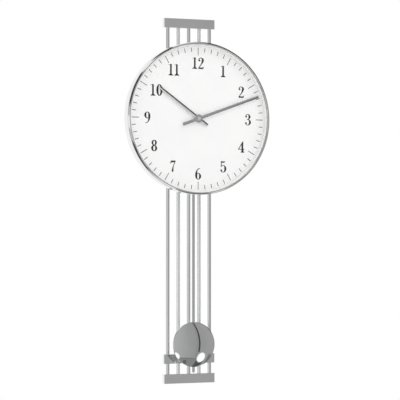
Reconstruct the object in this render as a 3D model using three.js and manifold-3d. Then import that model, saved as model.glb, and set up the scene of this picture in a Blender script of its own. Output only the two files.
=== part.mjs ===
// Pendulum wall clock: a round chromed head on a rack of five rods, with a free pendulum.
// Millimetres. +X is right, +Y points to the wall, +Z is up. The wall is the plane y = 0,
// and the hands turn about the line x = 0, z = 0.

import * as THREE from 'three';
import { mergeVertices } from 'three/addons/utils/BufferGeometryUtils.js';
import Module from 'manifold-3d';

const wasm = await Module();
wasm.setup();

// ---------------------------------------------------------------- driving dimensions

const SMALL_GAP = 0.3;             // between pieces that touch on the real object
const RING_SEGMENTS = 48;          // round the head
const BOB_SEGMENTS = 36;
const ROUND_SEGMENTS = 16;         // round rods and pins
const SCREW_SEGMENTS = 10;         // round screws, stand-offs and bumpers
const ARBOR_SEGMENTS = 12;
const BORE_SEGMENTS = 20;          // round wider holes and the battery

// rack of rods and bars
const ROD_PITCH = 15;
const ROD_COUNT = 5;
const ROD_RADIUS = 2.4;
const ROD_BORE_RADIUS = 2.6;
const ROD_Y = -9;
const BAR_WIDTH = 72.5;
const BAR_HEIGHT = 12.5;
const BAR_DEPTH = 7.6;
const RAIL_DEPTH = 6.4;
const TOP_BAR_Z = 128.75;
const BOTTOM_BAR_Z = -345.75;
const RAIL_Z = -319.25;
const CLAMP_BAR_Z = 60;            // above and below the hand axis
const ROD_END_COVER = 2;           // metal left over a rod's end
const BAR_FRONT_Y = ROD_Y - BAR_DEPTH / 2;
const BAR_BACK_Y = ROD_Y + BAR_DEPTH / 2;
const TOP_BAR_TOP_Z = TOP_BAR_Z + BAR_HEIGHT / 2;
const BOTTOM_BAR_BOTTOM_Z = BOTTOM_BAR_Z - BAR_HEIGHT / 2;
const ROD_TOP_Z = TOP_BAR_TOP_Z - ROD_END_COVER - SMALL_GAP;
const ROD_BOTTOM_Z = BOTTOM_BAR_BOTTOM_Z + ROD_END_COVER + SMALL_GAP;

// wall fixings
const PLATE_THICKNESS = 1.5;
const PLATE_HALF_WIDTH = 14;
const PLATE_FLAT_END_Z = 46;       // the flat middle ends here, above and below
const PLATE_FOOT_START_Z = 52;
const PLATE_FOOT_END_Z = 66;
const PLATE_FOOT_FRONT_Y = BAR_BACK_Y + SMALL_GAP;
const PLATE_FOOT_BACK_Y = PLATE_FOOT_FRONT_Y + PLATE_THICKNESS;
const BEND_SHIFT = 0.6;            // keeps the strip's thickness even round a bend
const KEYHOLE_Z = 32;
const KEYHOLE_RADIUS = 5;
const KEYHOLE_SLOT_RADIUS = 2.4;
const KEYHOLE_RISE = 10;
const HANGER_SCREW_X = 7.5;
const HANGER_SCREW_HEAD = { radius: 3, height: 1.9 };
const HANGER_SCREW_HOLE_RADIUS = 2;
const SCREW_SHANK_RADIUS = 1.5;
const SCREW_SOCKET_RADIUS = 1.3;
const TAPPED_HOLE_RADIUS = 1.8;
const BUMPER_RADIUS = 5;
const BUMPER_X = 26;

// round head
const DIAL_FACE_Y = -42.5;
const DIAL_THICKNESS = 0.8;
const DIAL_RADIUS = 99.2;
const HEAD_RADIUS = 101;
const BAND_INNER_RADIUS = 99.6;
const BAND_FRONT_Y = -47.5;
const BAND_BACK_Y = -34;
const BEZEL_FRONT_Y = -50.4;
const BEZEL_LIP_RADIUS = 97.8;
const GLASS_RADIUS = 98.2;
const GLASS_FRONT_Y = -49.3;
const GLASS_BACK_Y = -47.6;
const PAN_BACK_Y = -22.5;
const PAN_BACK_RADIUS = 93;
const PAN_THICKNESS = 0.9;
const PAN_OPENING = { left: -42, right: 36, bottom: -36, top: 50 };
const PENDULUM_SLOT_HALF_WIDTH = 14;
const STANDOFF_X = 22.5;
const STANDOFF_RADIUS = 4;
const STANDOFF_FLANGE = { radius: 3.2, thickness: 1.4 };
const STANDOFF_NECK_RADIUS = 1.8;
const STANDOFF_SHANK_LENGTH = 6.5;
const STANDOFF_SCREW_HEAD = { radius: 3.4, height: 2.2 };
const RIVET_HOLE_RADIUS = 2.1;
const CUT_PAST = 1;                // how far a hole's cutter runs past the face

// hands
const MINUTE_HAND_ANGLE = 70.2;    // degrees clockwise from twelve: about 10:12
const HOUR_HAND_ANGLE = 305.85;
const MINUTE_HAND = { reach: 91.5, tail: 24.5, tipWidth: 3.0, tailWidth: 3.8, hub: 4.2 };
const HOUR_HAND = { reach: 68, tail: 15.2, tipWidth: 3.0, tailWidth: 3.6, hub: 5 };
const HOUR_HAND_FRONT_Y = -45.3;
const MINUTE_HAND_FRONT_Y = -46.4;
const HAND_THICKNESS = 0.7;
const MINUTE_HAND_BORE_RADIUS = 1.35;
const HOUR_HAND_BORE_RADIUS = 2.65;
const HAND_CAP_RADIUS = 2.1;
const CANNON_PIPE_RADIUS = 1.1;
const HOUR_PIPE = { radius: 2.4, bore: 1.5 };

// movement
const SHELL = { left: -38, right: 32, bottom: -32, top: 46 };
const SHELL_WALL = 1.2;
const SHELL_FRONT_Y = DIAL_FACE_Y + DIAL_THICKNESS + SMALL_GAP;
const SHELL_SPLIT_Y = -35;
const SHELL_BACK_Y = -28;
const BUSH_RADIUS = 4;
const BUSH_BORE_RADIUS = 2.8;
const BUSH_FRONT_Y = -44.3;
const ARBOR_RADIUS = 0.6;
const ARBOR_HOLE_RADIUS = 0.85;
const NUT_RADIUS = 5.3;
const KNOB_BACK_Y = -24.6;
const KNOB_SPINDLE_RADIUS = 1.2;
const KNOB_HOLE_RADIUS = 1.5;
const KNOB_RIBS = { count: 14, module: 0.66 };
const BATTERY_RADIUS = 7.25;
const BATTERY_LENGTH = 50.5;
const BATTERY_X = -28.6;
const BATTERY_Y = -32.6;
const BATTERY_BUTTON = { radius: 2.6, height: 1.2 };
const BATTERY_EDGE = 0.8;
const BAY = {
  left: SHELL.left + SHELL_WALL,
  right: BATTERY_X + BATTERY_RADIUS + 0.6,
  bottom: -BATTERY_LENGTH / 2 - 2.4,
  top: BATTERY_LENGTH / 2 + 2.4,
};
const CONTACT = { halfWidth: 4.5, front: BATTERY_Y - 5, back: BATTERY_Y + 4, sheet: 0.5 };
const BOARD = { left: 18.8, right: 30.2, bottom: -16, top: 17 };
const BOARD_FRONT_Y = -38.6;
const BOARD_BACK_Y = -37.4;
const CHIP = { left: 22, right: 28, bottom: -3, top: 3 };
const CHIP_BACK_Y = -36.1;
const STEPPER = {
  x: 19.5, z: 32, y: -34.5, length: 15, bore: 1.5, flange: 4.2, windingRadius: 3.6,
  lamination: 1, coreHeight: 1.6, rotorRadius: 2.6,
};
const PENDULUM_COIL = {
  front: -39.6, back: -30.2, bore: 2, flange: 6.4, windingRadius: 5.6, flangeThickness: 0.8,
};

// pendulum
const PIVOT_Z = 24;
const PIVOT_RADIUS = 1;
const PIVOT_HEAD = { radius: 2.1, height: 0.7 };
const PIVOT_FRONT_Y = -30.2;
const PIVOT_BACK_Y = -25.2;
const HOOK_Z = 12;
const STRIP_Y = -26;
const STRIP_THICKNESS = 0.8;
const STRIP_WIDTH = 3.8;
const STRIP_BOTTOM_Z = -337;
const STRIP_EYE_RADIUS = 6;
const PEG_HOLE_RADIUS = 1.6;
const PEG_ENTRY_RADIUS = 2.5;      // wide end of the keyhole, which passes over the peg's head
const PEG = { radius: 1.3, headRadius: 2.1, headHeight: 0.6 };
const HANGER_THICKNESS = 0.8;
const MAGNET_Z = 38;
const MAGNET_RADIUS = 3;
const MAGNET_THICKNESS = 1.6;
const BOB_RADIUS = 29.8;
const BOB_Z = -299.6;
const BOB_DOME_HEIGHT = 8;
const BOB_RIM_Y = -28.2;
const BOB_BACK_Y = -26.7;
const BOB_WALL = 0.8;
const BOB_BACK_THICKNESS = 0.7;
const BOB_WEIGHT = { radius: 16, thickness: 3.5 };
const CLIP = { halfWidth: 8, sheet: 0.6, height: 12 };

// gear train: tooth counts and modules, with each arbor placed at its true centre distance
const CANNON_TEETH = 10;
const MINUTE_WHEEL_TEETH = 30;
const MINUTE_PINION_TEETH = 10;
const HOUR_WHEEL_TEETH = 40;
const KNOB_PINION_TEETH = 10;
const CENTRE_WHEEL_TEETH = 64;
const THIRD_PINION_TEETH = 8;
const THIRD_WHEEL_TEETH = 60;
const SECONDS_PINION_TEETH = 8;
const SECONDS_WHEEL_TEETH = 30;
const MOTION_MODULE = 0.6;
const HOUR_MODULE = 0.48;
const CENTRE_MODULE = 0.32;
const THIRD_MODULE = 0.3;
const SECONDS_MODULE = 0.5;

// ---------------------------------------------------------------- finishes

const finish = (color, roughness, metalness, extra = {}) =>
  new THREE.MeshStandardMaterial({ color, roughness, metalness, ...extra });

const chrome = finish(0xc8cacc, 0.08, 1);
const brushedSteel = finish(0x9a9da0, 0.35, 1);
const zincSteel = finish(0xa8abad, 0.4, 1);
const whiteEnamel = finish(0xf4f4f2, 0.5, 0);
const clearGlass = finish(0xffffff, 0.03, 0, { transparent: true, opacity: 0.2 });
const blackPlastic = finish(0x26272a, 0.5, 0);
const whitePlastic = finish(0xe6e5df, 0.45, 0);
const brassMetal = finish(0xb8964a, 0.3, 1);
const copperWire = finish(0xa8562c, 0.4, 0.8);
const boardGreen = finish(0x1f5a38, 0.5, 0);
const batteryJacket = finish(0x2d4f86, 0.35, 0.2);
const greyRubber = finish(0x4a4b4c, 0.85, 0);

// ---------------------------------------------------------------- geometry helpers

const radians = THREE.MathUtils.degToRad;

function toSolid(geometry) {
  const bare = geometry.clone();
  bare.deleteAttribute('normal');
  bare.deleteAttribute('uv');
  const merged = mergeVertices(bare, 1e-4);
  return new wasm.Manifold(new wasm.Mesh({
    numProp: 3,
    vertProperties: new Float32Array(merged.attributes.position.array),
    triVerts: new Uint32Array(merged.index.array),
  }));
}

function toGeometry(solid) {
  const mesh = solid.getMesh();
  const geometry = new THREE.BufferGeometry();
  geometry.setAttribute('position', new THREE.BufferAttribute(mesh.vertProperties, 3));
  geometry.setIndex(new THREE.BufferAttribute(mesh.triVerts, 1));
  geometry.computeVertexNormals();
  return geometry;
}

// body with every tool taken out of it
function cut(body, ...tools) {
  return toGeometry(tools.reduce((solid, tool) => solid.subtract(toSolid(tool)), toSolid(body)));
}

// all the given bodies as one
function join(first, ...others) {
  return toGeometry(others.reduce((solid, other) => solid.add(toSolid(other)), toSolid(first)));
}

// flat piece whose outline lies in the x-z plane, from yFront back to yBack
function plate(outline, yFront, yBack) {
  const geometry = new THREE.ExtrudeGeometry(outline, {
    depth: yBack - yFront, bevelEnabled: false, curveSegments: 6,
  });
  return geometry.rotateX(Math.PI / 2).translate(0, yBack, 0);
}

// piece turned about the y axis; the profile is a list of [radius, y]
function turned(profile, segments = ROUND_SEGMENTS) {
  const points = profile.map(([radius, y]) => new THREE.Vector2(radius, y));
  return new THREE.LatheGeometry(points, segments);
}

// solid round bar along y
function roundBar(radius, yFront, yBack, segments = ROUND_SEGMENTS) {
  return turned([[0, yFront], [radius, yFront], [radius, yBack], [0, yBack]], segments);
}

// ring along y
function ring(innerRadius, outerRadius, yFront, yBack, segments = ROUND_SEGMENTS) {
  return turned([
    [innerRadius, yFront], [outerRadius, yFront], [outerRadius, yBack], [innerRadius, yBack],
    [innerRadius, yFront],
  ], segments);
}

// solid round bar along z
function uprightBar(radius, zLow, zHigh) {
  return roundBar(radius, zLow, zHigh).rotateX(Math.PI / 2);
}

// cutter for a round hole along y through everything between the two faces
function holeCutter(radius, yFront, yBack, [x, z] = [0, 0], segments = ROUND_SEGMENTS) {
  return roundBar(radius, yFront - CUT_PAST, yBack + CUT_PAST, segments).translate(x, 0, z);
}

function box(xRange, yRange, zRange) {
  const sizes = [xRange, yRange, zRange].map(([low, high]) => high - low);
  const middles = [xRange, yRange, zRange].map(([low, high]) => (low + high) / 2);
  return new THREE.BoxGeometry(...sizes).translate(...middles);
}

function rectangle({ left, right, bottom, top }, inset = 0) {
  const outline = new THREE.Shape();
  outline.moveTo(left + inset, bottom + inset);
  outline.lineTo(right - inset, bottom + inset);
  outline.lineTo(right - inset, top - inset);
  outline.lineTo(left + inset, top - inset);
  outline.closePath();
  return outline;
}

function polygon(points) {
  return new THREE.Shape(points.map(([x, z]) => new THREE.Vector2(x, z)));
}

// ---------------------------------------------------------------- gears

const pitchRadius = (teeth, module) => teeth * module / 2;
const centreDistance = (teethA, teethB, module) => (teethA + teethB) * module / 2;
const along = ([x, z], distance, degrees) => {
  const angle = radians(degrees);
  return [x + distance * Math.cos(angle), z + distance * Math.sin(angle)];
};

// toothed outline about the origin; turn is the angle of one tooth's middle
function gearOutline(teeth, module, turn) {
  const pitch = 2 * Math.PI / teeth;
  const tip = pitchRadius(teeth, module) + 0.75 * module;
  const root = pitchRadius(teeth, module) - 1.05 * module;
  const corners = [[-0.25, root], [-0.09, tip], [0.09, tip], [0.25, root]];
  const points = [];
  for (let tooth = 0; tooth < teeth; tooth += 1) {
    for (const [share, radius] of corners) {
      const angle = turn + (tooth + share) * pitch;
      points.push([radius * Math.cos(angle), radius * Math.sin(angle)]);
    }
  }
  return polygon(points);
}

// the turn that a gear needs so that its gap receives the tooth of the gear it meshes with;
// direction is the angle from the first gear's axis to the second one's
function meshedTurn(firstTurn, firstTeeth, secondTeeth, direction) {
  const offset = (firstTurn - direction) * firstTeeth / secondTeeth;
  return direction + Math.PI - offset + Math.PI / secondTeeth;
}

const MINUTE_WHEEL_DIRECTION = -50;
const KNOB_DIRECTION = -70;
const THIRD_WHEEL_DIRECTION = 140;
const SECONDS_WHEEL_DIRECTION = 75;

const minuteWheelAt = along([0, 0],
  centreDistance(CANNON_TEETH, MINUTE_WHEEL_TEETH, MOTION_MODULE), MINUTE_WHEEL_DIRECTION);
const knobAt = along(minuteWheelAt,
  centreDistance(MINUTE_WHEEL_TEETH, KNOB_PINION_TEETH, MOTION_MODULE), KNOB_DIRECTION);
const thirdWheelAt = along([0, 0],
  centreDistance(CENTRE_WHEEL_TEETH, THIRD_PINION_TEETH, CENTRE_MODULE), THIRD_WHEEL_DIRECTION);
const secondsWheelAt = along(thirdWheelAt,
  centreDistance(THIRD_WHEEL_TEETH, SECONDS_PINION_TEETH, THIRD_MODULE),
  SECONDS_WHEEL_DIRECTION);

// layers of the train, front to back, as [yFront, yBack]
const HOUR_LAYER = [-39.8, -38.7];
const MOTION_LAYER = [-38.2, -37.1];
const CENTRE_LAYER = [-36.4, -35.5];
const THIRD_LAYER = [-34.4, -33.6];
const SECONDS_LAYER = [-31.9, -31.1];
const ARBOR_FRONT_Y = SHELL_FRONT_Y + SMALL_GAP;
const ARBOR_BACK_Y = SHELL_BACK_Y - SMALL_GAP;

function gear(teeth, module, turn, [yFront, yBack]) {
  return plate(gearOutline(teeth, module, turn), yFront, yBack);
}

const minuteWheelTurn = meshedTurn(0, CANNON_TEETH, MINUTE_WHEEL_TEETH,
  radians(MINUTE_WHEEL_DIRECTION));
const knobTurn = meshedTurn(minuteWheelTurn, MINUTE_WHEEL_TEETH, KNOB_PINION_TEETH,
  radians(KNOB_DIRECTION));
const hourWheelTurn = meshedTurn(0, MINUTE_PINION_TEETH, HOUR_WHEEL_TEETH,
  radians(MINUTE_WHEEL_DIRECTION) + Math.PI);
const thirdPinionTurn = meshedTurn(0, CENTRE_WHEEL_TEETH, THIRD_PINION_TEETH,
  radians(THIRD_WHEEL_DIRECTION));
const secondsPinionTurn = meshedTurn(0, THIRD_WHEEL_TEETH, SECONDS_PINION_TEETH,
  radians(SECONDS_WHEEL_DIRECTION));

function centreWheel() {
  return join(
    gear(CENTRE_WHEEL_TEETH, CENTRE_MODULE, 0, CENTRE_LAYER),
    gear(CANNON_TEETH, MOTION_MODULE, 0, [MOTION_LAYER[0], CENTRE_LAYER[1] - 0.2]),
    roundBar(CANNON_PIPE_RADIUS, MINUTE_HAND_FRONT_Y - 0.3, MOTION_LAYER[1]),
    roundBar(ARBOR_RADIUS, MOTION_LAYER[0], ARBOR_BACK_Y, ARBOR_SEGMENTS),
  );
}

function minuteWheel() {
  return join(
    gear(MINUTE_WHEEL_TEETH, MOTION_MODULE, minuteWheelTurn, MOTION_LAYER),
    gear(MINUTE_PINION_TEETH, HOUR_MODULE, 0, [HOUR_LAYER[0], MOTION_LAYER[1]]),
    roundBar(ARBOR_RADIUS, ARBOR_FRONT_Y, ARBOR_BACK_Y, ARBOR_SEGMENTS),
  );
}

function hourWheel() {
  const pipe = roundBar(HOUR_PIPE.radius, HOUR_HAND_FRONT_Y + 0.2, HOUR_LAYER[1]);
  const bore = holeCutter(HOUR_PIPE.bore, HOUR_HAND_FRONT_Y, HOUR_LAYER[1]);
  return cut(join(gear(HOUR_WHEEL_TEETH, HOUR_MODULE, hourWheelTurn, HOUR_LAYER), pipe), bore);
}

function thirdWheel() {
  return join(
    gear(THIRD_WHEEL_TEETH, THIRD_MODULE, 0, THIRD_LAYER),
    gear(THIRD_PINION_TEETH, CENTRE_MODULE, thirdPinionTurn, [CENTRE_LAYER[0], THIRD_LAYER[1]]),
    roundBar(ARBOR_RADIUS, ARBOR_FRONT_Y, ARBOR_BACK_Y, ARBOR_SEGMENTS),
  );
}

function secondsWheel() {
  return join(
    gear(SECONDS_WHEEL_TEETH, SECONDS_MODULE, 0, SECONDS_LAYER),
    gear(SECONDS_PINION_TEETH, THIRD_MODULE, secondsPinionTurn,
      [THIRD_LAYER[0], SECONDS_LAYER[1]]),
    roundBar(ARBOR_RADIUS, ARBOR_FRONT_Y, ARBOR_BACK_Y, ARBOR_SEGMENTS),
  );
}

function settingKnob() {
  return join(
    gear(KNOB_PINION_TEETH, MOTION_MODULE, knobTurn, MOTION_LAYER),
    roundBar(KNOB_SPINDLE_RADIUS, ARBOR_FRONT_Y, KNOB_BACK_Y - 1),
    gear(KNOB_RIBS.count, KNOB_RIBS.module, 0, [SHELL_BACK_Y + SMALL_GAP, KNOB_BACK_Y]),
  );
}

// ---------------------------------------------------------------- rack of rods and bars

const rodPositions = Array.from({ length: ROD_COUNT },
  (_, index) => (index - (ROD_COUNT - 1) / 2) * ROD_PITCH);

function barBox(z, depth = BAR_DEPTH) {
  return box([-BAR_WIDTH / 2, BAR_WIDTH / 2], [ROD_Y - depth / 2, ROD_Y + depth / 2],
    [z - BAR_HEIGHT / 2, z + BAR_HEIGHT / 2]);
}

function rodBores(zLow, zHigh) {
  return rodPositions.map((x) => uprightBar(ROD_BORE_RADIUS, zLow, zHigh).translate(x, ROD_Y, 0));
}

function topBar() {
  return cut(barBox(TOP_BAR_Z), ...rodBores(TOP_BAR_Z - BAR_HEIGHT, TOP_BAR_TOP_Z - ROD_END_COVER));
}

function bottomBar() {
  return cut(barBox(BOTTOM_BAR_Z),
    ...rodBores(BOTTOM_BAR_BOTTOM_Z + ROD_END_COVER, BOTTOM_BAR_Z + BAR_HEIGHT));
}

function lowerRail() {
  return cut(barBox(RAIL_Z, RAIL_DEPTH), ...rodBores(RAIL_Z - BAR_HEIGHT, RAIL_Z + BAR_HEIGHT));
}

function clampBar(z) {
  const standoffHoles = [-STANDOFF_X, STANDOFF_X].map(
    (x) => holeCutter(TAPPED_HOLE_RADIUS, BAR_FRONT_Y, BAR_BACK_Y, [x, z]));
  const hangerHoles = [-HANGER_SCREW_X, HANGER_SCREW_X].map(
    (x) => holeCutter(TAPPED_HOLE_RADIUS, BAR_BACK_Y - 4, BAR_BACK_Y, [x, z]));
  return cut(barBox(z), ...rodBores(z - BAR_HEIGHT, z + BAR_HEIGHT),
    ...standoffHoles, ...hangerHoles);
}

function rod() {
  return uprightBar(ROD_RADIUS, ROD_BOTTOM_Z, ROD_TOP_Z);
}

// where four fixings go, by their distance to each side of the hand axis
function cornerPlaces(x, z) {
  return [[-x, z], [x, z], [-x, -z], [x, -z]];
}

const hangerScrewPlaces = cornerPlaces(HANGER_SCREW_X, CLAMP_BAR_Z);
const standoffPlaces = cornerPlaces(STANDOFF_X, CLAMP_BAR_Z);

// pan-head screw along y, head towards the wall, with a round socket in the head
function screw(head, headFrontY, shankFrontY) {
  const headBackY = headFrontY + head.height;
  return turned([
    [0, shankFrontY], [SCREW_SHANK_RADIUS, shankFrontY], [SCREW_SHANK_RADIUS, headFrontY],
    [head.radius, headFrontY], [head.radius, headBackY - 0.5], [head.radius - 0.6, headBackY],
    [SCREW_SOCKET_RADIUS, headBackY], [SCREW_SOCKET_RADIUS, headBackY - 1], [0, headBackY - 1],
  ], SCREW_SEGMENTS);
}

// steel strip with both ends stepped forward onto the clamp bars; the middle lies on the wall
function hangerPlate() {
  const upperSide = [
    [0, PLATE_FLAT_END_Z], [PLATE_FOOT_BACK_Y, PLATE_FOOT_START_Z],
    [PLATE_FOOT_BACK_Y, PLATE_FOOT_END_Z], [PLATE_FOOT_FRONT_Y, PLATE_FOOT_END_Z],
    [PLATE_FOOT_FRONT_Y, PLATE_FOOT_START_Z - BEND_SHIFT],
    [-PLATE_THICKNESS, PLATE_FLAT_END_Z - BEND_SHIFT],
  ];
  const lowerSide = upperSide.map(([y, z]) => [y, -z]).reverse();
  const side = polygon([...upperSide, ...lowerSide]);
  const strip = new THREE.ExtrudeGeometry(side, { depth: 2 * PLATE_HALF_WIDTH, bevelEnabled: false });
  // the side outline is drawn as (y, z) and swept along x
  strip.applyMatrix4(new THREE.Matrix4().makeBasis(
    new THREE.Vector3(0, 1, 0), new THREE.Vector3(0, 0, 1), new THREE.Vector3(1, 0, 0)));
  strip.translate(-PLATE_HALF_WIDTH, 0, 0);
  const entry = holeCutter(KEYHOLE_RADIUS, -PLATE_THICKNESS, 0, [0, KEYHOLE_Z], BORE_SEGMENTS);
  const rest = holeCutter(KEYHOLE_SLOT_RADIUS, -PLATE_THICKNESS, 0, [0, KEYHOLE_Z + KEYHOLE_RISE]);
  const neck = box([-KEYHOLE_SLOT_RADIUS, KEYHOLE_SLOT_RADIUS],
    [-PLATE_THICKNESS - CUT_PAST, CUT_PAST], [KEYHOLE_Z, KEYHOLE_Z + KEYHOLE_RISE]);
  const screwHoles = hangerScrewPlaces.map(
    (place) => holeCutter(HANGER_SCREW_HOLE_RADIUS, PLATE_FOOT_FRONT_Y, PLATE_FOOT_BACK_Y, place));
  return cut(strip, entry, rest, neck, ...screwHoles);
}

function hangerScrew() {
  return screw(HANGER_SCREW_HEAD, PLATE_FOOT_BACK_Y + SMALL_GAP, BAR_BACK_Y - 4.5);
}

// turned pillar, riveted through the pan at its front end and tapped at its back end
function standoff() {
  const neck = STANDOFF_NECK_RADIUS;
  const flangeBackY = PAN_BACK_Y - PAN_THICKNESS - SMALL_GAP;
  const flangeFrontY = flangeBackY - STANDOFF_FLANGE.thickness;
  const pillarFrontY = PAN_BACK_Y + SMALL_GAP;
  const pillarBackY = BAR_FRONT_Y - SMALL_GAP;
  return turned([
    [0, flangeFrontY], [STANDOFF_FLANGE.radius, flangeFrontY],
    [STANDOFF_FLANGE.radius, flangeBackY], [neck, flangeBackY], [neck, pillarFrontY],
    [STANDOFF_RADIUS, pillarFrontY], [STANDOFF_RADIUS, pillarBackY], [neck, pillarBackY],
    [neck, BAR_FRONT_Y - STANDOFF_SHANK_LENGTH], [0, BAR_FRONT_Y - STANDOFF_SHANK_LENGTH],
  ], SCREW_SEGMENTS);
}

function standoffScrew() {
  return screw(STANDOFF_SCREW_HEAD, BAR_BACK_Y + SMALL_GAP, BAR_FRONT_Y - 6);
}

function wallBumper() {
  const edge = 0.8;
  return turned([
    [0, BAR_BACK_Y + SMALL_GAP], [BUMPER_RADIUS, BAR_BACK_Y + SMALL_GAP], [BUMPER_RADIUS, -edge],
    [BUMPER_RADIUS - edge, 0], [0, 0],
  ], SCREW_SEGMENTS);
}

// ---------------------------------------------------------------- round head

function caseBand() {
  return turned([
    [BAND_INNER_RADIUS, BAND_FRONT_Y], [HEAD_RADIUS - 0.4, BAND_FRONT_Y],
    [HEAD_RADIUS, BAND_FRONT_Y + 0.4], [HEAD_RADIUS, BAND_BACK_Y - 0.6],
    [HEAD_RADIUS - 0.6, BAND_BACK_Y], [BAND_INNER_RADIUS, BAND_BACK_Y],
    [BAND_INNER_RADIUS, BAND_FRONT_Y],
  ], RING_SEGMENTS);
}

// polished ring with a rounded front, a lip over the glass and a skirt inside the band
function bezel() {
  const lipBackY = GLASS_FRONT_Y - SMALL_GAP;
  const skirtOuterRadius = BAND_INNER_RADIUS - SMALL_GAP;
  const skirtInnerRadius = GLASS_RADIUS + 0.35;
  const flangeBackY = BAND_FRONT_Y - SMALL_GAP;
  const skirtBackY = -45.6;
  return turned([
    [BEZEL_LIP_RADIUS, lipBackY - 0.3], [BEZEL_LIP_RADIUS + 1.3, BEZEL_FRONT_Y],
    [HEAD_RADIUS - 1, BEZEL_FRONT_Y + 0.3], [HEAD_RADIUS, BEZEL_FRONT_Y + 1.7],
    [HEAD_RADIUS, flangeBackY], [skirtOuterRadius, flangeBackY], [skirtOuterRadius, skirtBackY],
    [skirtInnerRadius, skirtBackY], [skirtInnerRadius, lipBackY],
    [BEZEL_LIP_RADIUS, lipBackY - 0.3],
  ], RING_SEGMENTS);
}

function glass() {
  return turned([
    [0, GLASS_FRONT_Y], [GLASS_RADIUS, GLASS_FRONT_Y], [GLASS_RADIUS, GLASS_BACK_Y],
    [0, GLASS_BACK_Y],
  ], RING_SEGMENTS);
}

function spacerRing() {
  return ring(GLASS_RADIUS - 1.1, GLASS_RADIUS + 0.1, GLASS_BACK_Y + SMALL_GAP,
    DIAL_FACE_Y - SMALL_GAP, RING_SEGMENTS);
}

function dial() {
  return ring(BUSH_RADIUS + 0.4, DIAL_RADIUS, DIAL_FACE_Y, DIAL_FACE_Y + DIAL_THICKNESS,
    RING_SEGMENTS);
}

// pressed steel pan behind the dial, with an access opening that runs down into a slot
function backPan() {
  const rimRadius = BAND_INNER_RADIUS - SMALL_GAP - 0.1;
  const rimFrontY = DIAL_FACE_Y + DIAL_THICKNESS + SMALL_GAP;
  const shoulderY = BAND_BACK_Y + 3.5;
  const shoulderRadius = rimRadius - 1.2;
  const skirtBackY = PAN_BACK_Y - 1.5;
  const wall = PAN_THICKNESS;
  const pan = turned([
    [0, PAN_BACK_Y - wall], [PAN_BACK_RADIUS - wall, PAN_BACK_Y - wall],
    [PAN_BACK_RADIUS + 1.2 - wall, skirtBackY - wall], [shoulderRadius - wall, shoulderY],
    [rimRadius - wall, BAND_BACK_Y + 0.5], [rimRadius - wall, rimFrontY],
    [rimRadius, rimFrontY], [rimRadius, BAND_BACK_Y + 0.5], [shoulderRadius, shoulderY],
    [PAN_BACK_RADIUS + 1.2, skirtBackY], [PAN_BACK_RADIUS, PAN_BACK_Y], [0, PAN_BACK_Y],
  ], RING_SEGMENTS);
  const opening = plate(rectangle(PAN_OPENING), PAN_BACK_Y - 3, PAN_BACK_Y + 1);
  const slot = box([-PENDULUM_SLOT_HALF_WIDTH, PENDULUM_SLOT_HALF_WIDTH],
    [STRIP_Y - 2.8, PAN_BACK_Y + 1], [-HEAD_RADIUS - 1, PAN_OPENING.bottom + 1]);
  const rivetHoles = standoffPlaces.map(
    (place) => holeCutter(RIVET_HOLE_RADIUS, PAN_BACK_Y - PAN_THICKNESS, PAN_BACK_Y, place));
  return cut(pan, opening, slot, ...rivetHoles);
}

// ---------------------------------------------------------------- hands

// tapered baton with a tail and a round hub, pointing up, pushed onto an arbor
function hand({ reach, tail, tipWidth, tailWidth, hub }, frontY, holeRadius, degrees) {
  const baton = polygon([
    [-tailWidth / 2, -tail], [tailWidth / 2, -tail], [tipWidth / 2, reach], [-tipWidth / 2, reach],
  ]);
  const backY = frontY + HAND_THICKNESS;
  const body = join(plate(baton, frontY + 0.15, backY), roundBar(hub, frontY, backY, 24));
  return cut(body, holeCutter(holeRadius, frontY, backY)).rotateY(radians(degrees));
}

function handCap() {
  const handFront = MINUTE_HAND_FRONT_Y;
  const socket = MINUTE_HAND_BORE_RADIUS;
  return turned([
    [0, handFront - 0.8], [1.2, handFront - 0.75], [HAND_CAP_RADIUS, handFront - 0.3],
    [HAND_CAP_RADIUS, handFront - 0.15], [socket, handFront - 0.15], [socket, handFront - 0.5],
    [0, handFront - 0.5],
  ]);
}

// ---------------------------------------------------------------- movement

const arborPlaces = [minuteWheelAt, thirdWheelAt, secondsWheelAt];

function arborHoles(yFront, yBack) {
  return arborPlaces.map(
    (place) => holeCutter(ARBOR_HOLE_RADIUS, yFront, yBack, place, ARBOR_SEGMENTS));
}

function frontShell() {
  const block = plate(rectangle(SHELL), SHELL_FRONT_Y, SHELL_SPLIT_Y);
  const hollow = plate(rectangle(SHELL, SHELL_WALL), SHELL_FRONT_Y + SHELL_WALL,
    SHELL_SPLIT_Y + 1);
  const wallBackY = SHELL_FRONT_Y + SHELL_WALL;
  const bush = roundBar(BUSH_RADIUS, BUSH_FRONT_Y, wallBackY, BORE_SEGMENTS);
  const bushBore = holeCutter(BUSH_BORE_RADIUS, BUSH_FRONT_Y, wallBackY);
  const knobHole = holeCutter(KNOB_HOLE_RADIUS, SHELL_FRONT_Y, wallBackY, knobAt, ARBOR_SEGMENTS);
  return cut(join(cut(block, hollow), bush), bushBore, knobHole,
    ...arborHoles(SHELL_FRONT_Y, wallBackY));
}

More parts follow.
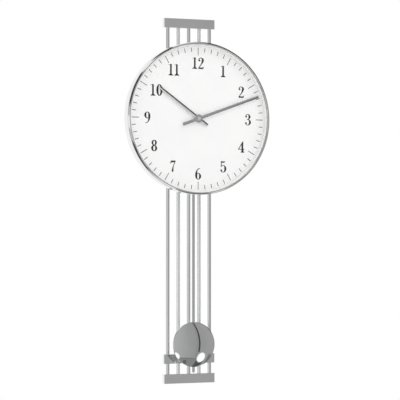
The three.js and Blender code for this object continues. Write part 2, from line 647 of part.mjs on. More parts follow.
function rearShell() {
  const frontY = SHELL_SPLIT_Y + SMALL_GAP;
  const block = plate(rectangle(SHELL), frontY, SHELL_BACK_Y);
  const hollow = plate(rectangle(SHELL, SHELL_WALL), frontY - 1, SHELL_BACK_Y - SHELL_WALL);
  const bayWall = plate(rectangle({
    left: BAY.left - 0.5, right: BAY.right + 1, bottom: BAY.bottom - 1, top: BAY.top + 1,
  }), frontY, SHELL_BACK_Y - 0.5);
  const bayHole = plate(rectangle(BAY), frontY - 1, SHELL_BACK_Y + 1);
  const wallFrontY = SHELL_BACK_Y - SHELL_WALL;
  const pinHole = holeCutter(PIVOT_RADIUS + 0.2, wallFrontY, SHELL_BACK_Y, [0, PIVOT_Z]);
  const knobHole = holeCutter(KNOB_HOLE_RADIUS, wallFrontY, SHELL_BACK_Y, knobAt, ARBOR_SEGMENTS);
  const centreHole = holeCutter(ARBOR_HOLE_RADIUS, wallFrontY, SHELL_BACK_Y, [0, 0],
    ARBOR_SEGMENTS);
  return cut(join(cut(block, hollow), bayWall), bayHole, pinHole, knobHole, centreHole,
    ...arborHoles(wallFrontY, SHELL_BACK_Y));
}

function fixingNut() {
  const outline = polygon(Array.from({ length: 6 }, (_, corner) => {
    const angle = corner * Math.PI / 3;
    return [NUT_RADIUS * Math.cos(angle), NUT_RADIUS * Math.sin(angle)];
  }));
  const backY = DIAL_FACE_Y - SMALL_GAP;
  return cut(plate(outline, BUSH_FRONT_Y + 0.1, backY),
    holeCutter(BUSH_RADIUS + 0.25, BUSH_FRONT_Y, backY, [0, 0], BORE_SEGMENTS));
}

function battery() {
  const half = BATTERY_LENGTH / 2;
  const shoulder = half - BATTERY_BUTTON.height;
  return turned([
    [0, -half], [BATTERY_RADIUS - BATTERY_EDGE, -half], [BATTERY_RADIUS, BATTERY_EDGE - half],
    [BATTERY_RADIUS, shoulder - BATTERY_EDGE], [BATTERY_RADIUS - BATTERY_EDGE, shoulder],
    [BATTERY_BUTTON.radius, shoulder], [BATTERY_BUTTON.radius, half], [0, half],
  ], BORE_SEGMENTS).rotateX(Math.PI / 2).translate(BATTERY_X, BATTERY_Y, 0);
}

// flat contact spring across one end of the battery bay; end is +1 at the top, -1 below
function contact(end) {
  const near = BATTERY_LENGTH / 2 + 0.5;
  const far = near + CONTACT.sheet;
  const levels = end > 0 ? [near, far] : [-far, -near];
  return box([BATTERY_X - CONTACT.halfWidth, BATTERY_X + CONTACT.halfWidth],
    [CONTACT.front, CONTACT.back], levels);
}

function circuitBoard() {
  return join(plate(rectangle(BOARD), BOARD_FRONT_Y, BOARD_BACK_Y),
    plate(rectangle(CHIP), BOARD_BACK_Y - 0.1, CHIP_BACK_Y));
}

// bobbin with its winding, turned about the y axis
function windingProfile({ bore, flange, windingRadius }, front, back, flangeThickness) {
  return [
    [bore, front], [flange, front], [flange, front + flangeThickness],
    [windingRadius, front + flangeThickness], [windingRadius, back - flangeThickness],
    [flange, back - flangeThickness], [flange, back], [bore, back], [bore, front],
  ];
}

function stepperCoil() {
  const half = STEPPER.length / 2;
  return turned(windingProfile(STEPPER, -half, half, 1))
    .rotateZ(Math.PI / 2).translate(STEPPER.x, STEPPER.y, STEPPER.z);
}

// soft-iron lamination round the coil, with the round gap for the rotor
function stepperStator() {
  const sheetFrontY = STEPPER.y - STEPPER.lamination / 2;
  const sheetBackY = STEPPER.y + STEPPER.lamination / 2;
  const rotorHole = holeCutter(STEPPER.rotorRadius, sheetFrontY, sheetBackY,
    [STEPPER.x, STEPPER.z - 9.5], BORE_SEGMENTS);
  const halfSpan = STEPPER.length / 2 + 2.2;
  const legs = plate(rectangle({
    left: STEPPER.x - halfSpan, right: STEPPER.x + halfSpan,
    bottom: STEPPER.z - 13, top: STEPPER.z + 2,
  }), sheetFrontY, sheetBackY);
  const coilRoom = box([STEPPER.x - halfSpan + 1.8, STEPPER.x + halfSpan - 1.8],
    [STEPPER.y - 2, STEPPER.y + 2], [STEPPER.z - 5, STEPPER.z + 3]);
  const core = box([STEPPER.x - halfSpan, STEPPER.x + halfSpan],
    [sheetFrontY, sheetBackY],
    [STEPPER.z - STEPPER.coreHeight / 2, STEPPER.z + STEPPER.coreHeight / 2]);
  return join(cut(legs, coilRoom, rotorHole), core);
}

// ---------------------------------------------------------------- pendulum

function pendulumCoil() {
  const { front, back, flangeThickness } = PENDULUM_COIL;
  return turned(windingProfile(PENDULUM_COIL, front, back, flangeThickness))
    .translate(0, 0, MAGNET_Z);
}

function pivotPin() {
  const headFrontY = PIVOT_BACK_Y - PIVOT_HEAD.height;
  return turned([
    [0, PIVOT_FRONT_Y], [PIVOT_RADIUS, PIVOT_FRONT_Y], [PIVOT_RADIUS, headFrontY],
    [PIVOT_HEAD.radius, headFrontY], [PIVOT_HEAD.radius, PIVOT_BACK_Y], [0, PIVOT_BACK_Y],
  ]).translate(0, 0, PIVOT_Z);
}

const HANGER_FRONT_Y = SHELL_BACK_Y + 0.5;
const HANGER_BACK_Y = HANGER_FRONT_Y + HANGER_THICKNESS;

// lever that turns on the pivot pin: magnet seat above, hook peg below
function pendulumHanger() {
  const outline = polygon([
    [-2.2, HOOK_Z - 3], [2.2, HOOK_Z - 3], [3, PIVOT_Z - 3], [3, PIVOT_Z + 3],
    [3.8, MAGNET_Z + 3.6], [-3.8, MAGNET_Z + 3.6], [-3, PIVOT_Z + 3], [-3, PIVOT_Z - 3],
  ]);
  const pegFrontY = HANGER_FRONT_Y + 0.2;
  const pegHeadFrontY = STRIP_Y + 0.8;
  const pegBackY = pegHeadFrontY + PEG.headHeight;
  const peg = turned([
    [0, pegFrontY], [PEG.radius, pegFrontY], [PEG.radius, pegHeadFrontY],
    [PEG.headRadius, pegHeadFrontY], [PEG.headRadius, pegBackY], [0, pegBackY],
  ]).translate(0, 0, HOOK_Z);
  const pinHole = holeCutter(PIVOT_RADIUS + 0.2, HANGER_FRONT_Y, HANGER_BACK_Y, [0, PIVOT_Z]);
  return cut(join(plate(outline, HANGER_FRONT_Y, HANGER_BACK_Y), peg), pinHole);
}

function pendulumMagnet() {
  const frontY = HANGER_BACK_Y + 0.2;
  return roundBar(MAGNET_RADIUS, frontY, frontY + MAGNET_THICKNESS).translate(0, 0, MAGNET_Z);
}

// flat strip with a keyhole eye at the top and a rounded tip at the bottom
function pendulumStrip() {
  const half = STRIP_WIDTH / 2;
  const frontY = STRIP_Y - STRIP_THICKNESS / 2;
  const backY = STRIP_Y + STRIP_THICKNESS / 2;
  const outline = new THREE.Shape();
  outline.moveTo(-half, HOOK_Z - 6);
  outline.lineTo(-half, STRIP_BOTTOM_Z + half);
  outline.absarc(0, STRIP_BOTTOM_Z + half, half, Math.PI, 2 * Math.PI, false);
  outline.lineTo(half, HOOK_Z - 6);
  outline.closePath();
  const eye = roundBar(STRIP_EYE_RADIUS, frontY, backY, 24).translate(0, 0, HOOK_Z - 2);
  const pegHole = holeCutter(PEG_HOLE_RADIUS, frontY, backY, [0, HOOK_Z]);
  const entryHole = holeCutter(PEG_ENTRY_RADIUS, frontY, backY, [0, HOOK_Z - 3.6]);
  return cut(join(plate(outline, frontY, backY), eye), pegHole, entryHole);
}

// points of the dome, from the middle of its front to its rim, at a given depth below it
function domeProfile(inset, steps) {
  const sphereRadius = (BOB_RADIUS ** 2 + BOB_DOME_HEIGHT ** 2) / (2 * BOB_DOME_HEIGHT);
  const centreY = BOB_RIM_Y - BOB_DOME_HEIGHT + sphereRadius;
  const radius = sphereRadius - inset;
  const rimAngle = Math.asin((BOB_RADIUS - inset) / radius);
  return Array.from({ length: steps + 1 }, (_, step) => {
    const angle = rimAngle * step / steps;
    return [radius * Math.sin(angle), centreY - radius * Math.cos(angle)];
  });
}

function bobFront() {
  const outside = domeProfile(0, 6);
  const inside = domeProfile(BOB_WALL, 3).reverse();
  const edge = [[BOB_RADIUS, BOB_BACK_Y], [BOB_RADIUS - BOB_WALL, BOB_BACK_Y]];
  return turned([...outside, ...edge, ...inside], BOB_SEGMENTS).translate(0, 0, BOB_Z);
}

function bobBack() {
  const radius = BOB_RADIUS - BOB_WALL - SMALL_GAP;
  return roundBar(radius, BOB_BACK_Y - BOB_BACK_THICKNESS, BOB_BACK_Y, BOB_SEGMENTS)
    .translate(0, 0, BOB_Z);
}

function bobWeight() {
  const backY = BOB_RIM_Y - 0.1;
  return roundBar(BOB_WEIGHT.radius, backY - BOB_WEIGHT.thickness, backY, 24)
    .translate(0, 0, BOB_Z);
}

// bent spring strip on the bob's back that grips the pendulum strip
function bobClip() {
  const footFrontY = STRIP_Y - STRIP_THICKNESS / 2;
  const bridgeFrontY = STRIP_Y + STRIP_THICKNESS / 2 + SMALL_GAP;
  const bridgeBackY = bridgeFrontY + CLIP.sheet;
  const insideX = STRIP_WIDTH / 2 + SMALL_GAP;
  const outsideX = insideX + CLIP.sheet;
  const footBackY = footFrontY + CLIP.sheet;
  const rightHalf = [
    [insideX, bridgeFrontY], [insideX, footFrontY], [CLIP.halfWidth, footFrontY],
    [CLIP.halfWidth, footBackY], [outsideX, footBackY], [outsideX, bridgeBackY],
  ];
  const leftHalf = rightHalf.map(([x, y]) => [-x, y]).reverse();
  return new THREE.ExtrudeGeometry(polygon([...rightHalf, ...leftHalf]),
    { depth: CLIP.height, bevelEnabled: false }).translate(0, 0, BOB_Z - CLIP.height / 2);
}

// ---------------------------------------------------------------- assembly

const clock = new THREE.Group();

function add(name, geometry, material, [x, z] = [0, 0]) {
  const mesh = new THREE.Mesh(geometry, material);
  mesh.name = name;
  mesh.position.set(x, 0, z);
  clock.add(mesh);
}

add('top_bar', topBar(), chrome);
add('bottom_bar', bottomBar(), chrome);
add('lower_rail', lowerRail(), chrome);
add('upper_clamp_bar', clampBar(CLAMP_BAR_Z), chrome);
add('lower_clamp_bar', clampBar(-CLAMP_BAR_Z), chrome);
rodPositions.forEach((x, index) => {
  add(`rod_${index + 1}`, rod().translate(x, ROD_Y, 0), chrome);
});

add('hanger_plate', hangerPlate(), zincSteel);
hangerScrewPlaces.forEach((place, index) => {
  add(`hanger_screw_${index + 1}`, hangerScrew(), zincSteel, place);
});
standoffPlaces.forEach((place, index) => {
  add(`standoff_${index + 1}`, standoff(), brushedSteel, place);
  add(`standoff_screw_${index + 1}`, standoffScrew(), zincSteel, place);
});
add('wall_bumper_left', wallBumper(), greyRubber, [-BUMPER_X, BOTTOM_BAR_Z]);
add('wall_bumper_right', wallBumper(), greyRubber, [BUMPER_X, BOTTOM_BAR_Z]);

add('case_band', caseBand(), chrome);
add('bezel', bezel(), chrome);
add('glass', glass(), clearGlass);
add('spacer_ring', spacerRing(), whitePlastic);
add('dial', dial(), whiteEnamel);
add('back_pan', backPan(), brushedSteel);

add('movement_front_shell', frontShell(), blackPlastic);
add('movement_rear_shell', rearShell(), blackPlastic);
add('fixing_nut', fixingNut(), brassMetal);
add('battery', battery(), batteryJacket);
add('battery_contact_top', contact(1), brassMetal);
add('battery_contact_bottom', contact(-1), brassMetal);
add('circuit_board', circuitBoard(), boardGreen);
add('stepper_coil', stepperCoil(), copperWire);
add('stepper_stator', stepperStator(), brushedSteel);
add('pendulum_coil', pendulumCoil(), copperWire);
add('centre_wheel', centreWheel(), whitePlastic);
add('minute_wheel', minuteWheel(), whitePlastic, minuteWheelAt);
add('hour_wheel', hourWheel(), whitePlastic);
add('third_wheel', thirdWheel(), whitePlastic, thirdWheelAt);
add('seconds_wheel', secondsWheel(), whitePlastic, secondsWheelAt);
add('setting_knob', settingKnob(), whitePlastic, knobAt);

add('hour_hand', hand(HOUR_HAND, HOUR_HAND_FRONT_Y, HOUR_HAND_BORE_RADIUS, HOUR_HAND_ANGLE),
  chrome);
add('minute_hand',
  hand(MINUTE_HAND, MINUTE_HAND_FRONT_Y, MINUTE_HAND_BORE_RADIUS, MINUTE_HAND_ANGLE), chrome);
add('hand_cap', handCap(), chrome);

add('pivot_pin', pivotPin(), brushedSteel);
add('pendulum_hanger', pendulumHanger(), whitePlastic);
add('pendulum_magnet', pendulumMagnet(), brushedSteel);
add('pendulum_strip', pendulumStrip(), chrome);
add('bob_front', bobFront(), chrome);
add('bob_back', bobBack(), brushedSteel);
add('bob_weight', bobWeight(), zincSteel);
add('bob_clip', bobClip(), brushedSteel);

export default clock;
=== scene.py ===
import math

import bmesh
import bpy
from mathutils import Matrix, Vector


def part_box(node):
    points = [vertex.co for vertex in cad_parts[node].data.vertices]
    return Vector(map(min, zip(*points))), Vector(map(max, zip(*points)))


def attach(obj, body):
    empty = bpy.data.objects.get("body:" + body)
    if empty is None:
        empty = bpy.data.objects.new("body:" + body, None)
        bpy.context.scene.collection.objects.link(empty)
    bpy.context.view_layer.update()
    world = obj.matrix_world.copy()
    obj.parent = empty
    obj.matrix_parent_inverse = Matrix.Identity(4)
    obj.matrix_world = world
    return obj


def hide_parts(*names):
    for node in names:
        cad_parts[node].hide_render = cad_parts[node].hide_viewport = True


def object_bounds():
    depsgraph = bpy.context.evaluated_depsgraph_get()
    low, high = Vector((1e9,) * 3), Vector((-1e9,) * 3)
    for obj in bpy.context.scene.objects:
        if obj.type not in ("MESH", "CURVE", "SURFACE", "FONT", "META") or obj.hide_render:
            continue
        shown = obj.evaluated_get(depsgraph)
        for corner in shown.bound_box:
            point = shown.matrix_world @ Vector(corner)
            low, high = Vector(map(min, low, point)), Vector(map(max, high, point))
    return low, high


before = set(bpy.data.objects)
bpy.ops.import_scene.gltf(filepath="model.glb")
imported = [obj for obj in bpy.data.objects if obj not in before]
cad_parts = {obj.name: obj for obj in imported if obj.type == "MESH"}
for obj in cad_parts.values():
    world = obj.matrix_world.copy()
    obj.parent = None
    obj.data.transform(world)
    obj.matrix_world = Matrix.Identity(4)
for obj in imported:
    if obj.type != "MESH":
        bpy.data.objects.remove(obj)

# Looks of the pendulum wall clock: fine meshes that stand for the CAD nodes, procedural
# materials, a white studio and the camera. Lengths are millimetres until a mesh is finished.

cad_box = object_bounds()

# -------- driving dimensions

MM = 0.001
RING_SIDES = 256                 # round the head
BOB_SIDES = 160
ROD_SIDES = 64
SCREW_SIDES = 40
CUTTER_REACH = 1.0               # how far a cutter runs past what it cuts
GAP = 0.3                        # left where one piece bears on the next

# rack
ROD_NAMES = ["rod_1", "rod_2", "rod_3", "rod_4", "rod_5"]
SATIN_RODS = ["rod_2", "rod_4"]
ROD_END_ROUNDING = 0.4
BORE_RADIUS = 2.55
BORE_FLARE = 0.3
ROD_END_COVER = 2.0
EDGE_ROUNDING = 0.35

# wall fixings
HANGER_SCREWS = [f"hanger_screw_{number}" for number in range(1, 5)]
STANDOFF_SCREWS = [f"standoff_screw_{number}" for number in range(1, 5)]
STANDOFFS = [f"standoff_{number}" for number in range(1, 5)]
STANDOFF_X = 22.5
STANDOFF_Z = 60.0
STANDOFF_HOLE_RADIUS = 1.9
STANDOFF_NECK_RADIUS = 1.8
STANDOFF_RIVET_RADIUS = 3.2
RIVET_HOLE_RADIUS = 2.1
SHANK_RADIUS = 1.5
HANGER_HOLE_RADIUS = 2.0
LARGE_HEAD_RADIUS = 3.2          # a screw head wider than this is also taller
HEAD_HEIGHT = 1.9
LARGE_HEAD_HEIGHT = 2.2
RECESS_ARM = 1.55
RECESS_HALF_WIDTH = 0.34
RECESS_DEPTH = 1.1
PLATE_THICKNESS = 1.5
PLATE_BEND = 6.0                 # along z, from the flat middle out to a foot
PLATE_BEND_SHIFT = 0.6           # from a bend's outside to its inside, along z
FOOT_LENGTH = 14.0
KEYHOLE_Z = 32.0
KEYHOLE_RISE = 10.0
KEYHOLE_RADIUS = 5.0
KEYHOLE_SLOT_RADIUS = 2.4
KEYHOLE_CUT = (-4.0, 1.0)        # how deep its cutters lie, along y

# round head
BAND_WALL = 1.4
LIP_RADIUS = 97.8                # sight edge of the bezel
BEZEL_LIP_ROLL = 0.75            # rounding of the bezel's inner edge
BEZEL_FLAT = 0.5                 # width of its flat front
BEZEL_EDGE_ROLL = 0.5            # rounding at both ends of its flank
BEZEL_FLANK = (38.0, 56.0)       # slope of the flank at its inner and outer end, in degrees
GLASS_SEAT_RADIUS = 98.55
GLASS_INDEX = 1.2
SKIRT_RADIUS = 99.3
SPACER_FRONT_WIDTH = 0.6
SPACER_BACK_WIDTH = 2.3
PAN_WALL = 0.9
PAN_BACK_RADIUS = 93.0
PAN_SHOULDER = (1.2, 0.5, 3.5)   # step inwards, its start and its end behind the band
PAN_CORNER = (1.2, 1.5)          # of the back, outwards and forwards
PAN_OPENING = (-42.0, 36.0, -36.0, 50.0)      # left, right, bottom, top
PAN_OPENING_ROUNDING = 5.0
PENDULUM_SLOT_HALF_WIDTH = 14.0
PENDULUM_SLOT_LEAD = 2.8         # in front of the strip

# dial
DIAL_HOLE_RADIUS = 4.4
TICK_OUTER_RADIUS = 94.05
HOUR_TICK_INNER_RADIUS = 83.6
MINUTE_TICK_INNER_RADIUS = 88.35
TICK_WIDTH = 0.85
NUMERAL_RADIUS_X = 72.0          # the numbers stand on a circle that is a little taller than wide
NUMERAL_RADIUS_Z = 73.3
NUMERAL_HEIGHT = 15.1
NUMERAL_WIDTH = 16.8             # of a figure that is drawn one unit wide
PRINT_PROUD = 0.04

# hands: angles are degrees clockwise from twelve
MINUTE_HAND = {"reach": 91.5, "tail": 24.5, "tip": 3.3, "butt": 4.1, "hub": 4.7, "bore": 1.35, "angle": 70.2}
HOUR_HAND = {"reach": 68.0, "tail": 15.2, "tip": 3.6, "butt": 4.2, "hub": 5.4, "bore": 2.65, "angle": 305.85}
HAND_SLOPE = 8.5                 # degrees, from the ridge down to the long edges
RIDGE_SETBACK = 0.04             # of the ridge behind the front of the hub

# movement
SHELL_WALL = 1.2
SHELL_CORNER = 2.5
BAY_MARGIN_X = 0.6
BAY_MARGIN_Z = 2.4
KNOB_RING = (7.2, 8.2)           # raised ring round the setting knob
GRIP_RIBS = 5
GRIP_RIB_X = 13.5
GRIP_RIB_PITCH = 3.0
GRIP_RIB_WIDTH = 1.2
GRIP_RIB_Z = (10.0, 38.0)
SPINDLE_RADIUS = 1.2
SPINDLE_HOLE_RADIUS = 1.5
PIVOT_HOLE_RADIUS = 1.2
CENTRE_HOLE_RADIUS = 0.85
KNOB_RIBS = 32
KNOB_PINION = {"teeth": 10, "root": 2.37, "tip": 3.45, "first_tooth": 28.0}    # meshes with the minute wheel
KNOB_PINION_LAYER = (-38.2, -37.1)
BUTTON_RADIUS = 2.7
BATTERY_BAND = (14.0, 2.4)       # start and end below the button's top

# pendulum
HOOK_Z = 12.0
PIVOT_Z = 24.0
MAGNET_Z = 38.0
STRIP_HALF_WIDTH = 1.9
EYE_HOLE_RADIUS = 1.6
EYE_ENTRY_RADIUS = 2.5
EYE_ENTRY_DROP = 3.6
PEG_RADIUS = 1.3
PEG_COLLAR_RADIUS = 2.1
BOB_DOME_HEIGHT = 8.0
BOB_WALL = 0.8
CLIP_HALF_GAP = 2.2
CLIP_SHEET = 0.6

# view: where the camera stands, in the part's frame, and how it is turned
CAMERA_PLACE = (-941.6, -2315.2, -143.1)
CAMERA_YAW = 22.562              # degrees right of straight ahead
CAMERA_PITCH = 0.822             # degrees up
CAMERA_LENS = 167.4
CAMERA_SENSOR = 36.0
CAMERA_REACH = 20.0              # metres
FLOOR_DROP = 250.0               # below the lowest point of the clock
FLOOR_RADIUS = 1500.0
WASH = 1.1                       # even light on matt surfaces
KEY_LAMP_PLACE = (0.98, -0.85, 1.3)           # metres
KEY_LAMP_POWER = 3.0
KEY_LAMP_SIZE = 0.35


def box_mm(node):
    """Lowest and highest corner of a CAD node, in millimetres."""
    low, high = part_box(node)
    return Vector(low) / MM, Vector(high) / MM


def middle(node):
    low, high = box_mm(node)
    return (low + high) / 2


def seat(node):
    """Where a node's middle lies, seen from the front."""
    centre = middle(node)
    return centre.x, centre.z


def half_width(node):
    low, high = box_mm(node)
    return (high.x - low.x) / 2


# -------- outlines

def circle(radius, centre=(0.0, 0.0), sides=ROD_SIDES):
    turns = [2 * math.pi * side / sides for side in range(sides)]
    return [(centre[0] + radius * math.cos(turn), centre[1] + radius * math.sin(turn)) for turn in turns]


def rectangle(left, right, bottom, top):
    return [(left, bottom), (right, bottom), (right, top), (left, top)]


def rounded(points, radius, steps=6, closed=True):
    """The outline with every corner turned into a curve that starts radius away from it."""
    result = []
    count = len(points)
    for index, point in enumerate(points):
        at_end = not closed and index in (0, count - 1)
        if at_end:
            result.append(point)
            continue
        corner = Vector(point)
        before = Vector(points[index - 1]) - corner
        after = Vector(points[(index + 1) % count]) - corner
        start = corner + before.normalized() * min(radius, before.length / 2)
        end = corner + after.normalized() * min(radius, after.length / 2)
        for step in range(steps + 1):
            share = step / steps
            first = start.lerp(corner, share)
            second = corner.lerp(end, share)
            result.append(tuple(first.lerp(second, share)))
    return result


def arc(radius, centre, start, end, steps):
    """Points of an arc, with its angles in degrees."""
    turns = [math.radians(start + (end - start) * step / steps) for step in range(steps + 1)]
    return [(centre[0] + radius * math.cos(turn), centre[1] + radius * math.sin(turn)) for turn in turns]


# -------- solids

def turned(profile, sides=SCREW_SIDES, at=(0.0, 0.0)):
    """A profile of (radius, y) turned about the line along Y through at = (x, z)."""
    solid = bmesh.new()
    rings = []
    for radius, y in profile:
        if radius < 1e-6:
            rings.append([solid.verts.new((at[0], y, at[1]))])
            continue
        rings.append([solid.verts.new((x, y, z)) for x, z in circle(radius, at, sides)])
    on_axis = len(rings[0]) == 1 and len(rings[-1]) == 1
    pairs = list(zip(rings, rings[1:]))
    if not on_axis:
        pairs.append((rings[-1], rings[0]))
    for first, second in pairs:
        for side in range(sides):
            following = (side + 1) % sides
            corners = [
                first[side % len(first)], first[following % len(first)],
                second[following % len(second)], second[side % len(second)],
            ]
            corners = list(dict.fromkeys(corners))
            if len(corners) > 2:
                solid.faces.new(corners)
    bmesh.ops.recalc_face_normals(solid, faces=solid.faces)
    return solid


PLACERS = {
    "X": lambda a, b, depth: (depth, a, b),
    "Y": lambda a, b, depth: (a, depth, b),
    "Z": lambda a, b, depth: (a, b, depth),
}


def prism(outline, low, high, axis="Y"):
    """A flat outline carried along an axis from low to high."""
    place = PLACERS[axis]
    solid = bmesh.new()
    near = [solid.verts.new(place(a, b, low)) for a, b in outline]
    far = [solid.verts.new(place(a, b, high)) for a, b in outline]
    solid.faces.new(near)
    solid.faces.new(far)
    for index in range(len(outline)):
        following = (index + 1) % len(outline)
        solid.faces.new([near[index], near[following], far[following], far[index]])
    bmesh.ops.recalc_face_normals(solid, faces=solid.faces)
    return solid


def pillar(radius, low, high, rounding, steps=3, sides=SCREW_SIDES, at=(0.0, 0.0)):
    """Solid cylinder along Y with rounded rims."""
    return turned(rounded(rectangle(0, radius, low, high), rounding, steps, closed=False), sides, at)


def ring(inner, outer, low, high, rounding, steps=3, sides=RING_SIDES, at=(0.0, 0.0)):
    """Ring along Y with rounded edges."""
    return turned(rounded(rectangle(inner, outer, low, high), rounding, steps), sides, at)


def drill(radius, at, low, high, sides=SCREW_SIDES):
    """Cutter for a round hole along Y through all that lies from low to high."""
    return prism(circle(radius, at, sides), low - CUTTER_REACH, high + CUTTER_REACH)


def upright(solid):
    """The same solid with its Y axis stood up along Z."""
    bmesh.ops.transform(solid, matrix=Matrix.Rotation(math.pi / 2, 4, "X"), verts=solid.verts)
    return solid


def moved(solid, x=0.0, y=0.0, z=0.0):
    bmesh.ops.translate(solid, vec=(x, y, z), verts=solid.verts)
    return solid


def softened(solid, width, segments=3, limit=40.0):
    """The solid with its sharp edges rounded."""
    sharp = [edge for edge in solid.edges
             if len(edge.link_faces) == 2 and edge.calc_face_angle(0.0) > math.radians(limit)]
    bmesh.ops.bevel(solid, geom=sharp, offset=width, segments=segments, profile=0.5,
                    affect="EDGES", clamp_overlap=True)
    return solid


def temporary(solid):
    mesh = bpy.data.meshes.new("temporary")
    solid.to_mesh(mesh)
    solid.free()
    helper = bpy.data.objects.new("temporary", mesh)
    bpy.context.collection.objects.link(helper)
    return helper


def combined(body, tools, operation):
    """The body after a boolean with each tool in turn."""
    helpers = [temporary(body)]
    for tool in tools:
        helpers.append(temporary(tool))
        modifier = helpers[0].modifiers.new("boolean", "BOOLEAN")
        modifier.operation = operation
        modifier.solver = "EXACT"
        modifier.object = helpers[-1]
    evaluated = helpers[0].evaluated_get(bpy.context.evaluated_depsgraph_get())
    result = bmesh.new()
    result.from_mesh(evaluated.to_mesh())
    evaluated.to_mesh_clear()
    for helper in helpers:
        mesh = helper.data
        bpy.data.objects.remove(helper)
        bpy.data.meshes.remove(mesh)
    bmesh.ops.remove_doubles(result, verts=result.verts, dist=1e-4)
    return result


def cut(body, *tools):
    return combined(body, tools, "DIFFERENCE")


def joined(body, *others):
    return combined(body, others, "UNION")


def gathered(solids):
    """Separate solids in one mesh."""
    result = bmesh.new()
    for solid in solids:
        mesh = bpy.data.meshes.new("temporary")
        solid.to_mesh(mesh)
        solid.free()
        result.from_mesh(mesh)
        bpy.data.meshes.remove(mesh)
    return result


# -------- materials

def feed(tree, socket, value):
    """Links an output to a socket, or sets the socket to a plain value."""
    if isinstance(value, bpy.types.NodeSocket):
        tree.links.new(value, socket)
    else:
        socket.default_value = value


def add_node(tree, kind, **inputs):
    """A new shader node with its inputs by name, each a plain value or the output that feeds it."""
    node = tree.nodes.new("ShaderNode" + kind)
    for name, value in inputs.items():
        feed(tree, node.inputs[name.replace("_", " ")], value)
    return node


def noise(scale, stretch=(1, 1, 1), detail=3.0):
    """Pattern of clouds or grain in the part's own space; scale is in waves per metre."""
    def build(tree):
        place = add_node(tree, "TexCoord").outputs["Object"]
        stretched = add_node(tree, "Mapping", Vector=place, Scale=stretch).outputs["Vector"]
        return add_node(tree, "TexNoise", Vector=stretched, Scale=scale, Detail=detail).outputs["Fac"]
    return build


def waves(kind, direction, scale, distortion):
    """Pattern of turning marks, windings or brushed bands."""
    def build(tree):
        place = add_node(tree, "TexCoord").outputs["Object"]
        texture = add_node(tree, "TexWave", Vector=place, Scale=scale, Distortion=distortion, Detail=2.0)
        texture.wave_type = kind
        setattr(texture, kind.lower() + "_direction", direction)
        return texture.outputs["Fac"]
    return build


def finish(name, metallic, tint, polish=None, relief=None, contrast=(0.35, 0.65), **sockets):
    """A Principled material.

    tint is a pattern and the two colours it runs between, polish a pattern and two roughnesses,
    relief a pattern, a strength and a depth in millimetres; sockets are further uniform values.
    """
    material = bpy.data.materials.new(name)
    material.use_nodes = True
    tree = material.node_tree
    pattern, dark, light = tint
    ramp = add_node(tree, "ValToRGB", Fac=pattern(tree))
    for element, position, color in zip(ramp.color_ramp.elements, contrast, (dark, light)):
        element.position = position
        element.color = (*color, 1)
    sockets.update(Metallic=metallic, Base_Color=ramp.outputs["Color"])
    if polish:
        pattern, least, most = polish
        spread = add_node(tree, "MapRange", Value=pattern(tree),
                          From_Min=0.3, From_Max=0.7, To_Min=least, To_Max=most)
        sockets["Roughness"] = spread.outputs["Result"]
    if relief:
        pattern, strength, depth = relief
        bump = add_node(tree, "Bump", Height=pattern(tree), Strength=strength, Distance=depth * MM)
        sockets["Normal"] = bump.outputs["Normal"]
    for socket, value in sockets.items():
        feed(tree, tree.nodes["Principled BSDF"].inputs[socket.replace("_", " ")], value)
    return material


def chrome(name, level):
    """Mirror plating that returns the given share of the light."""
    dark = (level - 0.025, level - 0.02, level - 0.01)
    return finish(name, 1.0, tint=(noise(55.0, detail=4.0), dark, (level + 0.015,) * 3),
                  polish=(noise(900.0, (1, 1, 0.08)), 0.02, 0.055),
                  relief=(noise(70.0, (1, 1, 0.3), 2.0), 0.04, 0.05))


def satin_chrome():
    """Lighter, silkier plating."""
    grain = noise(1100.0, (1, 1, 0.05))
    return finish("satin_chrome", 0.74, tint=(grain, (0.92, 0.925, 0.93), (0.97, 0.97, 0.97)),
                  polish=(grain, 0.12, 0.22))


# Painted highlight: a lighter, half-matt silver laid on the hour hand's left facet so that it reads bright.
# It stands for light on that facet, not for a different finish of the hand.
def frosted_silver():
    facet_speckle = noise(3000.0, detail=4.0)
    return finish("frosted_silver", 0.35, tint=(facet_speckle, (0.67, 0.67, 0.675), (0.73, 0.73, 0.73)),
                  polish=(facet_speckle, 0.42, 0.6), relief=(facet_speckle, 0.15, 0.02))


def hand_metal():
    grain = noise(1500.0, (1, 1, 0.25), 2.0)
    return finish("polished_hand_steel", 1.0, tint=(grain, (0.76, 0.765, 0.78), (0.84, 0.845, 0.85)),
                  polish=(grain, 0.03, 0.08))


def zinc_steel():
    spangle = noise(260.0, detail=5.0)
    return finish("zinc_plated_steel", 1.0, tint=(spangle, (0.52, 0.545, 0.58), (0.7, 0.705, 0.69)),
                  polish=(noise(700.0), 0.26, 0.46), relief=(spangle, 0.12, 0.1))


def turned_steel():
    marks = waves("BANDS", "Y", 900.0, 0.6)
    return finish("turned_steel", 1.0, tint=(noise(400.0), (0.62, 0.625, 0.635), (0.74, 0.74, 0.735)),
                  polish=(marks, 0.18, 0.34), relief=(marks, 0.15, 0.05))


def pan_steel():
    grain = noise(420.0, (0.05, 1, 1), 6.0)
    cloud = noise(28.0, detail=6.0)
    return finish("rolled_steel_sheet", 0.8, tint=(cloud, (0.66, 0.67, 0.68), (0.77, 0.77, 0.765)),
                  polish=(grain, 0.34, 0.5), relief=(grain, 0.1, 0.08))


def weight_iron():
    pits = noise(600.0, detail=6.0)
    return finish("cast_iron_weight", 0.9, tint=(pits, (0.1, 0.1, 0.105), (0.22, 0.215, 0.21)),
                  polish=(pits, 0.5, 0.75), relief=(pits, 0.3, 0.2))


def grey_rubber():
    grit = noise(1400.0, detail=5.0)
    return finish("grey_rubber", 0.0, tint=(grit, (0.045, 0.046, 0.048), (0.085, 0.086, 0.088)),
                  polish=(grit, 0.78, 0.95), relief=(grit, 0.35, 0.1))


